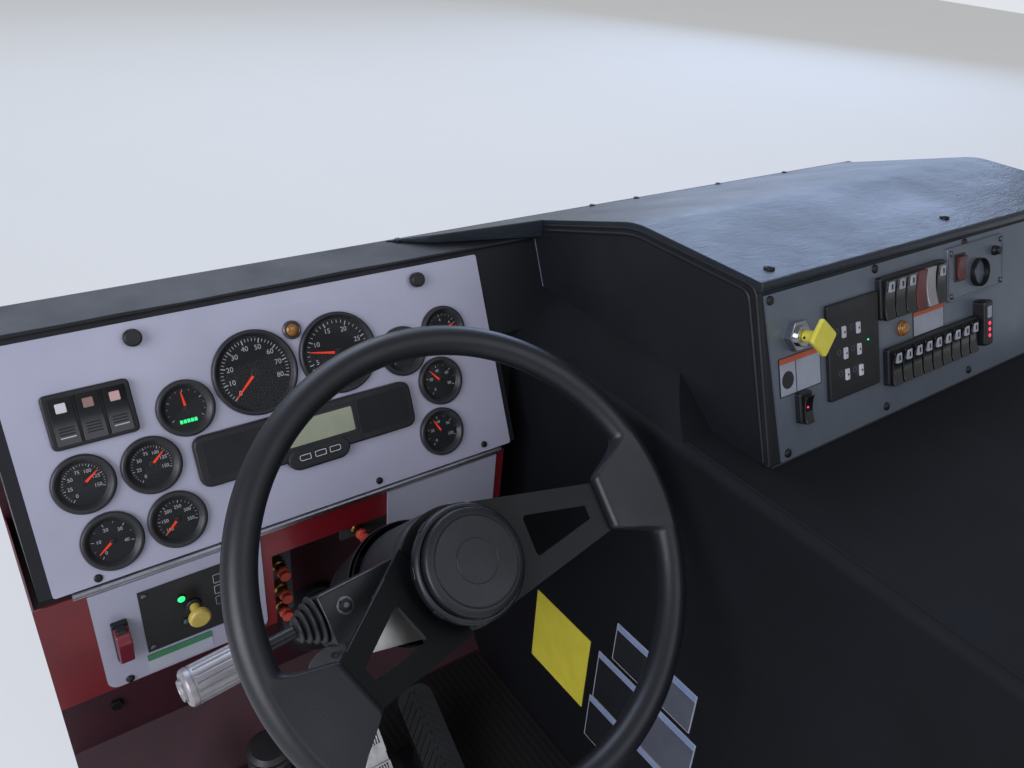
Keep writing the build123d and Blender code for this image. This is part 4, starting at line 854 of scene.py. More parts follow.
def standing(place: tuple, back: np.ndarray, right: np.ndarray) -> Matrix:
    """Where a lamp or a camera stands: right is made square to back, and up is their cross product.

    Args:
        place: Its place in metres.
        back: The direction away from what it looks at.
        right: Roughly the direction to its right.

    Returns:
        Its matrix.
    """
    back = back / np.linalg.norm(back)
    right = right - back * (right @ back)
    right = right / np.linalg.norm(right)
    turn = Matrix(np.column_stack([right, np.cross(back, right), back]).tolist()).to_4x4()
    return Matrix.Translation(place) @ turn


@dataclass
class Studio:
    """Pale floor and backdrop, soft lamps and the camera; sizes in metres."""

    reach: float = 14.0
    turn_up: float = 9.0
    bend: float = 3.0
    bend_steps: int = 16
    sink: float = 0.0015
    location: tuple = (-0.7333, -0.4075, 1.1408)
    right: tuple = (0.8103, -0.5793, 0.0791)
    back: tuple = (-0.5305, -0.6747, 0.5123)
    lens_mm: float = 29.53
    sensor_mm: float = 36.0
    nearest: float = 0.02
    world_colour: str = "#F2F5FA"
    world_level: float = 0.30
    seen_level: float = 0.85

    def floor(self) -> None:
        """A floor that bends up into a backdrop in front: a flat run, a quarter circle and a wall."""
        angles = np.linspace(0, np.pi / 2, self.bend_steps)
        bend_y = self.turn_up + self.bend * np.sin(angles)
        bend_z = self.bend * (1 - np.cos(angles))
        y = np.concatenate([[-self.reach], bend_y, [self.turn_up + self.bend]])
        z = np.concatenate([[0], bend_z, [self.reach]]) - self.sink
        x = np.array([-self.reach, self.reach])
        grid = np.stack(np.broadcast_arrays(x, y[:, None], z[:, None]), -1)
        patch = loft(grid, wrap=False, capped=False)
        mesh = bpy.data.meshes.new("studio_floor")
        mesh.from_pydata(patch.points.tolist(), [], patch.faces)
        paper = material(STUDIO_PALE)
        # The paper glows for the camera and in mirrors only, so that it sheds no light of its own.
        tree = paper.node_tree
        shader = tree.nodes["Principled BSDF"]
        tree.links.new(seen_by(tree, "Is Glossy Ray"), shader.inputs["Emission Strength"])
        mesh.materials.append(paper)
        mesh.shade_smooth()
        made = bpy.data.objects.new("studio_floor", mesh)
        bpy.context.scene.collection.objects.link(made)

    def lamps(self) -> None:
        """Adds the area lamps, each level and facing its target."""
        for lamp in LAMPS:
            data = bpy.data.lights.new(lamp.name, "AREA")
            data.shape = "SQUARE"
            data.size = lamp.size
            data.energy = lamp.power
            data.color = linear(lamp.colour)[:3]
            made = bpy.data.objects.new(lamp.name, data)
            back = np.array(lamp.place) - np.array(lamp.target)
            made.matrix_world = standing(lamp.place, back, np.cross([0, 0, 1], back))
            bpy.context.scene.collection.objects.link(made)

    def camera(self) -> None:
        """Stands the camera where the driver's eyes are."""
        data = bpy.data.cameras.new("driver_view")
        data.lens = self.lens_mm
        data.sensor_width = self.sensor_mm
        data.clip_start = self.nearest
        made = bpy.data.objects.new("driver_view", data)
        made.matrix_world = standing(self.location, np.array(self.back), np.array(self.right))
        bpy.context.scene.collection.objects.link(made)
        bpy.context.scene.camera = made

    def world(self) -> None:
        """An even pale surround, brighter where the camera sees it, straight or through glass."""
        world = bpy.data.worlds.new("surround")
        world.use_nodes = True
        tree = world.node_tree
        tree.nodes.clear()
        level = add_node(
            tree, "MapRange",
            {"Value": seen_by(tree, "Is Transmission Ray"), "To Min": self.world_level,
             "To Max": self.seen_level})
        back = add_node(
            tree, "Background", {"Color": linear(self.world_colour), "Strength": level.outputs["Result"]})
        add_node(tree, "OutputWorld", {"Surface": back.outputs[0]})
        bpy.context.scene.world = world

    def build(self) -> None:
        """Builds the studio."""
        self.floor()
        self.world()
        self.camera()
        self.lamps()
        bpy.context.scene.view_settings.view_transform = "Standard"


@dataclass(frozen=True)
class DialKind:
    """What gauges of one size share: radius of rim and dial, then shares of the dial's radius.

    The shares are the figures' height, how far out they stand, and half the needle's root.
    """

    rim: float
    dial: float
    figure: float
    figure_reach: float
    needle: float


SMALL = DialKind(30, 21, 0.24, 0.62, 0.07)
LARGE = DialKind(47, 39.5, 0.20, 0.70, 0.045)


@dataclass(frozen=True)
class Gauge:
    """One gauge: its centre on the panel, its kind, the needle and both ends of the scale in degrees.

    Angles count from the right. figures are the numbers on the dial, between is the number of steps
    from one to the next, and lit says whether green bars are lit on it.
    """

    across: float
    up: float
    kind: DialKind
    needle: float
    first: float
    last: float
    figures: range
    between: int
    lit: bool = False


GAUGES = (
    Gauge(162.6, 150.3, SMALL, 95, 215, -35, range(0), 3, lit=True),
    Gauge(116.8, 102, SMALL, 40, 230, -20, range(0, 151, 25), 5),
    Gauge(52.4, 102.1, SMALL, 35, 230, -20, range(0, 151, 25), 5),
    Gauge(63.7, 38.5, SMALL, 215, 230, -15, range(0, 41, 10), 2),
    Gauge(127.8, 39.3, SMALL, 220, 220, -15, range(100, 351, 50), 4),
    Gauge(420.1, 152.3, SMALL, 30, 225, -25, range(4), 4),
    Gauge(479.8, 165.5, SMALL, 20, 225, -25, range(0, 7, 2), 4),
    Gauge(462.4, 105.1, SMALL, 130, 225, -25, range(0, 81, 20), 2),
    Gauge(450.3, 42.9, SMALL, 118, 225, -25, range(0, 121, 30), 2),
    Gauge(241.7, 169.2, LARGE, 222, 222, -18, range(0, 81, 10), 5),
    Gauge(340, 169, LARGE, 168, 235, -20, range(0, 31, 5), 5),
)


@dataclass
class InstrumentPanel:
    """The hinged silver panel with its gauges, display, rockers and latches."""

    face: float = 3.0
    # Gauges: height of the rim, of the dial, and the flat land's share of the rim's width
    rim_height: float = 6.0
    dial_rise: float = 1.5
    land_share: float = 0.45
    # Dial prints: length and width of long and short ticks and their outer end, as shares of the dial
    long_tick: tuple = (0.13, 0.028)
    short_tick: tuple = (0.08, 0.016)
    tick_end: float = 0.95
    tick_rise: float = 0.12
    fewest_marks: int = 5
    # Green bars: count, left of the first, pitch, width, and their foot and head
    bars: int = 5
    bar_left: float = -9.0
    bar_pitch: float = 3.7
    bar_width: float = 2.7
    bar_span: tuple = (-15.5, -11.8)
    bar_rise: float = 0.3
    # Needles: tip, tail and boss as shares of the dial, the tip's share of the root's width
    needle_tip: float = 0.86
    needle_tail: float = 0.02
    needle_taper: float = 0.3
    needle_heights: tuple = (0.4, 1.1)
    boss_foot: float = 0.13
    boss_top: float = 0.10
    # Covers: their share of the rim's width, their drop below its edge, and their thickness
    cover_share: float = 0.36
    cover_drop: float = 1.3
    cover_thick: float = 0.8
    # Display: housing, windows, frame, screen, dividers, and its height over the panel
    display: tuple = (158.5, 416, 62, 118)
    display_height: float = 9.0
    windows: tuple = ((167, 247, 70.5, 111.5), (345.5, 408, 70.5, 111.5))
    screen_frame: tuple = (253, 340.5, 74, 110.5)
    screen: tuple = (257, 337, 78.5, 106.5)
    dividers: tuple = (250, 343)
    divider_half: float = 1.1
    divider_span: tuple = (66, 112)
    # Middle of each display button, and the cuts of its left and its right corners
    buttons: tuple = ((271.6, 3.9, 2), (290, 2, 2), (307.8, 2, 3.9))
    button_half: float = 7.6
    button_span: tuple = (60.2, 68.6)
    # Rocker bank: frame, its height, the gaps round the rockers, the rise of their ends and their hollow
    bank: tuple = (34, 115, 140, 195)
    bank_height: float = 7.0
    bank_edge: float = 4.0
    bank_gap: float = 1.2
    bank_inset: float = 4.5
    bank_ends: tuple = (3, 6)
    bank_hollow: float = 6.0
    grip_lines: int = 4
    latches: tuple = ((128.8, 232.5), (456, 232.5))
    lamp: tuple = (291.8, 205.8)
    lamp_radius: float = 7.4
    screws: tuple = ((42.3, 6), (355.9, 8), (507, 9))
    screw_head: tuple = (4.2, 2.4)

    def rim_profile(self, kind: DialKind) -> np.ndarray:
        """Section of a gauge rim: a rolled outer edge, a flat land and a cone down to the dial.

        Args:
            kind: The gauge's kind.

        Returns:
            Pairs of radius and height, closed.
        """
        rim, dial = kind.rim, kind.dial
        low, high = self.face, self.face + self.rim_height
        dial_up = low + self.dial_rise
        land = rim - (rim - dial) * self.land_share
        corners = [
            (rim, low), (rim, high - 1.4), (rim - 1.8, high), (land, high), (land - 1.2, high - 1),
            (dial + 0.8, dial_up + 0.9), (dial, dial_up + 0.2), (dial, low)]
        line = rounded(corners, 0.8, 3, closed=False)
        return np.vstack([line, line[:1]])

    def rims(self) -> None:
        """Rims of all gauges in one piece."""
        piece = Piece("gauge_rim_rings", PANEL)
        for gauge in GAUGES:
            piece.add(lathe(self.rim_profile(gauge.kind), 72).at(gauge.across, gauge.up), RIM_BLACK)
        piece.build("gauge_black", ("gauge_bezels",), crease=28, body="panel")

    def scales(self) -> None:
        """Ticks, figures and lit bars printed on the dials."""
        piece = Piece("dial_prints", PANEL)
        base = self.face + self.dial_rise
        for gauge in GAUGES:
            dial = gauge.kind.dial
            end = dial * self.tick_end
            marks = max(len(gauge.figures), self.fewest_marks)
            count = (marks - 1) * gauge.between + 1
            for index, angle in enumerate(np.linspace(gauge.first, gauge.last, count)):
                long, wide = self.long_tick if index % gauge.between == 0 else self.short_tick
                outline = rectangle(end - dial * long, end, -dial * wide / 2, dial * wide / 2)
                tick = prism(outline, 0, self.tick_rise).at(turn=angle)
                piece.add(tick.at(gauge.across, gauge.up, base), DIAL_WHITE)
            reach = dial * gauge.kind.figure_reach
            for number, angle in zip(gauge.figures, np.linspace(gauge.first, gauge.last, marks)):
                place = reach * np.array([np.cos(np.radians(angle)), np.sin(np.radians(angle))])
                figure = numeral(str(number), dial * gauge.kind.figure, self.tick_rise)
                piece.add(figure.at(gauge.across + place[0], gauge.up + place[1], base), DIAL_WHITE)
            for index in range(self.bars if gauge.lit else 0):
                left = self.bar_left + index * self.bar_pitch
                bar = prism(rectangle(left, left + self.bar_width, *self.bar_span), 0, self.bar_rise)
                piece.add(bar.at(gauge.across, gauge.up, base), GLOW_GREEN)
        piece.build("dial_black", merge=False, body="panel")

    def needles(self) -> None:
        """Tapered pointers on round bosses."""
        piece = Piece("gauge_pointers", PANEL)
        base = self.face + self.dial_rise
        for gauge in GAUGES:
            dial = gauge.kind.dial
            tip, tail = dial * self.needle_tip, dial * self.needle_tail
            root = dial * gauge.kind.needle
            point = root * self.needle_taper
            outline = rounded([(-tail, -root), (tip, -point), (tip, point), (-tail, root)], 0.4, 3)
            needle = prism(outline, *self.needle_heights, 0.2).at(turn=gauge.needle)
            piece.add(needle.at(gauge.across, gauge.up, base), NEEDLE_ORANGE_PAINTED_GLOW)
            foot, top = dial * self.boss_foot, dial * self.boss_top
            boss = lathe([(0, 0), (foot, 0), (foot, 1.2), (top, 1.6), (0, 1.6)], 24)
            piece.add(boss.at(gauge.across, gauge.up, base), BLACK_ABS)
        piece.build("needle_orange", ("gauge_needles",), body="panel")

    def lenses(self) -> None:
        """Clear covers seated in the cones of the rims."""
        piece = Piece("gauge_covers", PANEL)
        high = self.face + self.rim_height - self.cover_drop
        for gauge in GAUGES:
            rim, dial = gauge.kind.rim, gauge.kind.dial
            radius = dial + (rim - dial) * self.cover_share
            piece.disc(radius, 48, (high - self.cover_thick, high), CLEAR_LENS, (gauge.across, gauge.up))
        piece.build("clear_lens", ("gauge_lenses",), body="panel")

    def display_unit(self) -> None:
        """Display housing with dark windows, a liquid crystal screen and outlined buttons."""
        low, high = self.face, self.face + self.display_height
        piece = Piece("display_unit", PANEL)
        piece.block(self.display, (low, high), BLACK_ABS, corner=13, fine=6, rim=2.6, rim_fine=5)
        bulge = rounded([(259, 50.5), (321, 50.5), (330, 64), (319, 78), (261, 78), (250, 64)], 10, 6)
        cap = high + 0.6
        piece.add(prism(bulge, low, cap, 2.6, steps=5), BLACK_ABS)
        for window in self.windows:
            piece.block(window, (high - 1, high + 0.25), DIAL_BLACK, corner=4, fine=4, rim=0.2)
        piece.block(self.screen_frame, (high - 1, high + 0.8), BLACK_ABS, corner=3, fine=4, rim=0.5)
        piece.block(self.screen, (high, high + 1), SCREEN_GREY, corner=1.5, rim=0.1)
        for place in self.dividers:
            bar = (place - self.divider_half, place + self.divider_half, *self.divider_span)
            piece.block(bar, (high, high + 1.3), BLACK_ABS, corner=1, rim=0.5)
        foot, head = self.button_span
        for middle, left_cut, right_cut in self.buttons:
            left, right = middle - self.button_half, middle + self.button_half
            outline = rounded(
                [(left, foot), (right, foot), (right, head), (left, head)],
                [left_cut, right_cut, right_cut, left_cut], 5)
            piece.add(prism(outline, cap, cap + 1.2, 0.5), BLACK_ABS)
            piece.add(frame_line(inset(outline, 0.8), 0.8, cap + 1, cap + 1.35), OUTLINE_WHITE)
        piece.build("display_black", ("display_housing",), body="panel")

    def rocker_bank(self) -> None:
        """Three hollow-faced rockers in a frame, each with a lens and grip lines."""
        left, right, bottom, top = self.bank
        low, high = self.face, self.face + self.bank_height
        piece = Piece("rocker_trio", PANEL)
        piece.block(self.bank, (low, high), BLACK_ABS, corner=6, fine=5, rim=2)
        pitch = (right - left - 2 * self.bank_edge) / 3
        span = (bottom + self.bank_inset, top - self.bank_inset)
        for index, lens in enumerate((LENS_WHITE, LENS_BROWN, LENS_PINK)):
            near = left + self.bank_edge + pitch * index + self.bank_gap
            far = near + pitch - 2 * self.bank_gap
            rocker = hollow_rocker((near, far), span, high, self.bank_ends, self.bank_hollow, 13, 0.9)
            piece.add(rocker, GLOSS_BLACK)
            middle = (near + far) / 2
            lens_up = top - 19.0
            lens_box = (middle - 5.2, middle + 4.4, lens_up, lens_up + 9.5)
            piece.block(lens_box, (high + 2, high + 6.3), lens, corner=1, rim=0.5)
            for line in range(self.grip_lines):
                up = bottom + 11.0 + line * 3.0
                colour = OUTLINE_WHITE if line == 0 and index != 1 else BLACK_ABS
                piece.block((middle - 7, middle + 7, up, up + 1.2), (high, high + 3.7), colour, rim=0.3)
        piece.build("black_plastic", ("rocker_bank",), body="panel")

    def fasteners(self) -> None:
        """Thumb latches, the screws along the panel's foot, and the warning lamp in its collar."""
        latch = Piece("thumb_latches", PANEL)
        line = [(0, 14), (7.6, 14), (9, 12), (9, 5), (6, 4), (6, 3), (0, 3)]
        for centre in self.latches:
            latch.spun(line, 1, 4, 40, BLACK_ABS, centre)
        for centre in self.latches:
            latch.disc(2.5, 16, (-7, 3.2), SCREW_STEEL, centre)
        latch.build("black_plastic", ("panel_latches",), body="panel")
        heads = Piece("panel_screws", PANEL)
        heads.screws(self.screws, self.screw_head, self.face, SCREW_BLACK)
        heads.build("black_plastic", body="panel")
        lamp = Piece("lamp_lens", PANEL)
        radius = self.lamp_radius
        collar = [(radius, 3), (10.5, 3), (10.5, 6.4), (8.6, 7.4), (radius, 6.4), (radius, 3)]
        lamp.spun(collar, 0.7, 3, 36, SCREW_STEEL, self.lamp)
        angles = np.linspace(0, np.pi / 2, 8)
        dome = np.column_stack([radius * np.cos(angles), 6.0 + 3.6 * np.sin(angles)])
        lamp.add(lathe(np.vstack([[0, 3.2], [radius, 3.2], dome]), 32).at(*self.lamp), LENS_AMBER)
        lamp.build("lamp_amber", ("warning_lamp",), body="panel")

    def build(self) -> None:
        """Builds the panel's pieces."""
        self.rims()
        self.scales()
        self.needles()
        self.lenses()
        self.display_unit()
        self.rocker_bank()
        self.fasteners()


@dataclass
class Dash:
    """Padded roll over the dash, its trim screws and the silver plates on the apron."""

    left: float = -12.0
    right: float = 645.0
    top: float = 238.5
    # Padded roll: how far up the panel's slope its lip and its inner edge lie, its thickness at both
    lip_up: float = 254.6
    lip_thick: float = 7.2
    inner_up: float = 256.5
    pad_thick: float = 7.0
    roll_steps: int = 90
    # Ripples of the pad along the dash: height, wavelength over two pi, and phase; and how far it sags
    ripples: tuple = ((0.35, 47, 0), (0.25, 19, 1))
    sag: float = 0.6
    screws: tuple = ((465.7, 158), (518, 151))
    # Shift plate: its box, the face of its front, its knob, lamps, printed frames and the label below
    plate: tuple = (73, 190, -116, -28.5)
    plate_face: float = 3.6
    screw_margin: float = 6.0
    knob: tuple = (126, -71)
    lit_lamp: tuple = (114.5, -56)
    dark_lamp: tuple = (116.5, -91)
    frames: tuple = ((150, 184, -52, -40), (150, 184, -68, -56), (150, 184, -84, -72))
    label: tuple = (71, 141, -146, -121)
    label_header: float = 9.0
    panel_face: float = 2.0
    # Flip guard: its middle, how far its foot lies below it, its half width and that of its base
    guard: tuple = (50.5, -82.5)
    guard_drop: float = 26.5
    guard_half: float = 7.3
    base_half: float = 8.2
    toggle_half: float = 5.2
    # Closing trim: ends of panel and apron, the cover's side, and its foot, step and top
    panel_end: float = 556.5
    apron_end: float = 539.0
    cover: float = 590.0
    trim_levels: tuple = (-153, -8, 128)
    trim_heights: tuple = (-66, -65)
    apron_screws: tuple = ((50, -144), (520, -144))
    # Wall bolts: places across and up
    bolts_across: tuple = (43, 1383)
    bolts_up: tuple = (80.75, -359.25)

    def roll(self) -> None:
        """Padded roll: its section carried along the dash, the rear edge turned down over the face."""
        slope = np.array([np.sin(PANEL_TILT), np.cos(PANEL_TILT)])
        out = np.array([-np.cos(PANEL_TILT), np.sin(PANEL_TILT)])
        lip = self.lip_up * slope
        # Forward and up, from the lip round the outside and back under the pad
        corners = [
            lip,
            lip + out * self.lip_thick,
            (self.top - 5) / slope[1] * slope + out * self.pad_thick,
            (WALL, self.top),
            (WALL, self.top - self.pad_thick),
            self.inner_up * slope,
        ]
        section = rounded(corners, [1.5, 3.4, 9, 0.1, 0.1, 0.1], 6)
        x = np.linspace(self.left, self.right, self.roll_steps)
        ripple = sum(height * np.sin(x / length + phase) for height, length, phase in self.ripples)
        rings = np.stack([np.column_stack([np.full(len(section), place), section]) for place in x])
        rings[:, :, 2] += (ripple - self.sag)[:, None] * (section[:, 1] > self.top - 4)[None, :]
        piece = Piece("dash_roll", CAB)
        piece.add(loft(rings), DASH_VINYL)
        piece.build("black_vinyl", ("dash_top_pad",), crease=50)

    def shift_controls(self) -> None:
        """Shift plate fittings: corner screws, the knob, the two lamps, frames and a bare label."""
        left, right, bottom, top = self.plate
        face = self.plate_face
        knob = Piece("shift_knob_head", APRON)
        stem = [(0, face), (5.4, face), (5.4, 19), (11.8, 22), (11.8, 27.5), (10, 29.5), (0, 29.6)]
        knob.spun(stem, 1.8, 6, 48, KNOB_YELLOW, self.knob)
        collar = [(0, face), (9, face), (9, 6), (7.6, 7.4), (0, 7.4)]
        knob.spun(collar, 0.8, 4, 40, BLACK_ABS, self.knob)
        knob.build("yellow_knob", ("shift_knob",))
        lamps = Piece("shift_lamps", APRON)
        dome = [(0, face), (4, face), (4, 5.6), (2.4, 6.6), (0, 6.8)]
        lamps.spun(dome, 0.8, 4, 28, GLOW_GREEN, self.lit_lamp)
        lamps.spun(dome, 0.8, 4, 28, DARK_GREEN, self.dark_lamp)
        ring = lathe([(4, face), (5.6, face), (5.2, 5), (4.2, 5.2), (4, face)], 28)
        for place in (self.lit_lamp, self.dark_lamp):
            lamps.add(ring.at(*place), SCREW_BLACK)
        lamps.build("lamp_green")
        trim = Piece("shift_trim", APRON)
        for across in (left + self.screw_margin, right - self.screw_margin):
            for up in (bottom + self.screw_margin, top - self.screw_margin):
                trim.add(screw(3.4, 1.6).at(across, up, face), SCREW_STEEL)
        for box in self.frames:
            trim.add(frame_line(rectangle(*box, 1.5, 3), 0.5, face, face + 0.15), OUTLINE_WHITE)
        trim.build("black_plastic")
        label = Piece("shift_label", APRON)
        left, right, _, top = self.label
        header = (left, right, top - self.label_header, top)
        low = self.panel_face
        label.block(self.label, (low, low + 0.6), CARD_WHITE, corner=1, rim=0.1)
        label.block(header, (low, low + 0.75), LABEL_GREEN, corner=1, rim=0.1)
        label.build("silver_panel")

    def guard_cover(self) -> None:
        """Flip guard: a hood whose side outline rises to its lip, over a base with a toggle."""
        across, up = self.guard
        low = up - self.guard_drop
        piece = Piece("flip_guard", APRON)
        # Up and out, from the foot over the lip
        outline = rounded(
            [(low + 1, 8), (low + 2, 14.5), (low + 38, 24), (low + 47, 20.5), (low + 51, 8)], 3, 5)[::-1]
        hood = prism(outline, across - self.guard_half, across + self.guard_half, 1.4, both=True)
        piece.add(hood.sideways(), GUARD_RED)
        base = (across - self.base_half, across + self.base_half, low, low + 53)
        piece.block(base, (self.panel_face, 8), BLACK_ABS, corner=2, fine=4, rim=0.8)
        toggle = (across - self.toggle_half, across + self.toggle_half, low + 44, low + 52)
        piece.block(toggle, (7.8, 18), BLACK_ABS, corner=2, fine=4, rim=1.5)
        piece.build("guard_red", ("guarded_switch",))

    def closing_trim(self) -> None:
        """Dark vinyl that closes the gap between the apron and the engine cover."""
        piece = Piece("closing_trim", APRON)
        low, step, top = self.trim_levels
        outline = np.array([
            (self.apron_end, low), (self.cover, low), (self.cover, top), (self.panel_end, top),
            (self.panel_end, step), (self.apron_end, step)])
        piece.add(prism(outline, *self.trim_heights), DASH_VINYL)
        piece.block((self.apron_end + 0.2, self.apron_end + 1.2, low, step), (-65.5, -2), DASH_VINYL)
        piece.build("black_vinyl")

    def build(self) -> None:
        """Builds the dash pieces."""
        self.roll()
        self.shift_controls()
        self.guard_cover()
        heads = Piece("dash_screws", CAB)
        heads.screws(self.screws, (5, 3.2), self.top - 0.2, SCREW_BLACK)
        heads.build("black_vinyl")
        low = Piece("apron_screws", APRON)
        low.screws(self.apron_screws, (4.6, 3), self.panel_face, SCREW_BLACK)
        low.build("black_plastic")
        self.closing_trim()
        bolts = Piece("wall_bolts", APRON)
        for across in self.bolts_across:
            for up in self.bolts_up:
                bolts.disc(9, 6, (-WALL - 0.2, 6.0 - WALL), SCREW_BLACK, (across, up), rim=0.8)
                bolts.disc(5.3, 20, (-WALL - 18, -WALL), SCREW_BLACK, (across, up))
        bolts.build("black_plastic")


@dataclass
class SteeringWheel:
    """Moulded rim with two bosses, and the horn pad."""

    outer: float = 228.5
    tube: float = 14.7
    droop: float = 11.0
    # Bosses: where they start, half their thickness, and how far they drop below the rim
    boss_start: float = 151.0
    boss_half: float = 8.2
    boss_drop: float = 4.0
    # Degrees from the spoke at which a boss is full and at which it ends, above and below the spoke
    boss_above: tuple = (10.5, 17.5)
    boss_below: tuple = (9, 13)
    rim_stations: int = 480
    arc_steps: int = 17
    # Horn pad: the cap's radius, and the lugs round the drum
    cap: float = 51.0
    lugs: int = 8
    # Spokes, as their solids have them
    dish: float = 46.0
    spoke_run: float = 150.0
    spoke_start: float = 36.0
    spoke_thick: float = 5.0
    spoke_root: float = 54.0
    spoke_taper: float = 0.2294
    # Where the painted highlight runs along the left spoke's upper edge, and its radius
    highlight_span: tuple = (34, 110)
    highlight_radius: float = 0.6

    def rim(self) -> None:
        """Rim: at each angle the section is two arcs joined by flats, the inner one drawn in at a boss.

        The inner arc's centre lies on the rim's own circle, and within a boss it moves along a straight
        line across the spoke; a smooth step between the two angles of the boss blends them.
        """
        spokes = np.radians([-self.droop, 180.0 + self.droop])
        angles = np.linspace(0, 2 * np.pi, self.rim_stations + 1)[:-1]
        ring = self.outer - self.tube
        drawn = np.zeros(len(angles))
        offset = np.zeros(len(angles))
        for side, spoke in zip((1, -1), spokes):
            turn = (angles - spoke + np.pi) % (2 * np.pi) - np.pi
            upper = np.degrees(turn) * side
            wide = np.where(upper > 0, self.boss_above[1], self.boss_below[1])
            start = np.where(upper > 0, self.boss_above[0], self.boss_below[0])
            share = np.clip((wide - np.abs(upper)) / (wide - start), 0, 1)
            share = share * share * (3 - 2 * share)
            near = np.abs(upper) < wide
            drawn = np.where(near, share, drawn)
            offset = np.where(near, turn, offset)
        inner_radius = self.tube + (self.boss_half - self.tube) * drawn
        inner = self.boss_start / np.cos(offset) + inner_radius
        inner = ring + (inner - ring) * drawn
        drop = -self.boss_drop * drawn
        outer_arc = np.linspace(-np.pi / 2, np.pi / 2, self.arc_steps)
        inner_arc = np.linspace(np.pi / 2, 3 * np.pi / 2, self.arc_steps)
        radial = np.concatenate([
            ring + self.tube * np.cos(outer_arc)[None, :] + np.zeros((len(angles), 1)),
            inner[:, None] + inner_radius[:, None] * np.cos(inner_arc)[None, :],
        ], axis=1)
        height = np.concatenate([
            self.tube * np.sin(outer_arc)[None, :] + np.zeros((len(angles), 1)),
            drop[:, None] + inner_radius[:, None] * np.sin(inner_arc)[None, :],
        ], axis=1)
        rings = np.stack([
            radial * np.cos(angles)[:, None],
            radial * np.sin(angles)[:, None],
            height,
        ], -1)
        closed = np.concatenate([rings, rings[:1]])
        piece = Piece("wheel_rim_skin", WHEEL)
        piece.add(loft(closed, capped=False), WHEEL_SKIN)
        piece.build("rim_black", ("wheel_rim",), crease=55, body="wheel")

    def pad(self) -> None:
        """Horn pad: a drum with a rounded shoulder, a groove and a slightly domed cap."""
        piece = Piece("horn_pad", WHEEL)
        drum = [
            (0, -50), (49, -50), (49, -37), (57, -32), (57, -21.5), (54.5, -19), (52.6, -19), (52.6, -23),
            (0, -23)]
        piece.spun(drum, [0, 0.4, 1.5, 3, 2.5, 1.2, 0.3, 0.3, 0], 6, 96, WHEEL_SKIN)
        c = self.cap
        cap = [
            (0, -24), (c, -24), (c, -10.5), (c - 5.5, -8.6), (c - 7.6, -8.3), (c - 8, -9.3), (c - 8.8, -9.3),
            (c - 9.2, -8.2), (21.6, -7.7), (21.3, -8), (20.9, -8), (20.6, -7.6), (0, -7.5)]
        piece.spun(cap, [0, 0.4, 5, 1.5, 0.3, 0.3, 0.3, 0.3, 0.3, 0.1, 0.1, 0.3, 0], 6, 96, WHEEL_SKIN)
        lug = prism(rectangle(-6, 6, -3.6, 3.6, 1.4, 3), 55.6, 57.8, 0.8)
        pitch = 360.0 / self.lugs
        for index in range(self.lugs):
            tilted = lug.sideways().at(0, 0, -27).at(turn=pitch * (index + 0.5))
            piece.add(tilted, BLACK_ABS)
        piece.build("rim_black", ("wheel_hub",), crease=38, body="wheel")

    def painted_edge_highlight(self) -> None:
        """Painted highlight: a thin steel-coloured line along the left spoke's upper edge.

        Along the spoke by s, the half width is the root's less its taper times s; the spoke leans up
        by the angle whose tangent is the dish over its run.
        """
        lean = np.arctan2(self.dish, self.spoke_run)
        s = np.linspace(*self.highlight_span, 12)
        path = np.column_stack([
            self.spoke_start + s * np.cos(lean) - self.spoke_thick * np.sin(lean),
            -(self.spoke_root - self.spoke_taper * s) + self.highlight_radius / 2,
            s * np.sin(lean) + self.spoke_thick * np.cos(lean) - self.dish - self.spoke_thick,
        ])
        piece = Piece("spoke_painted_edge_highlight", WHEEL)
        piece.add(tube(path, self.highlight_radius, (0, 0, 1), 8).at(turn=180.0 + self.droop), SCREW_STEEL)
        piece.build("spoke_steel", body="wheel")

    def build(self) -> None:
        """Builds the wheel's pieces."""
        self.rim()
        self.pad()
        self.painted_edge_highlight()


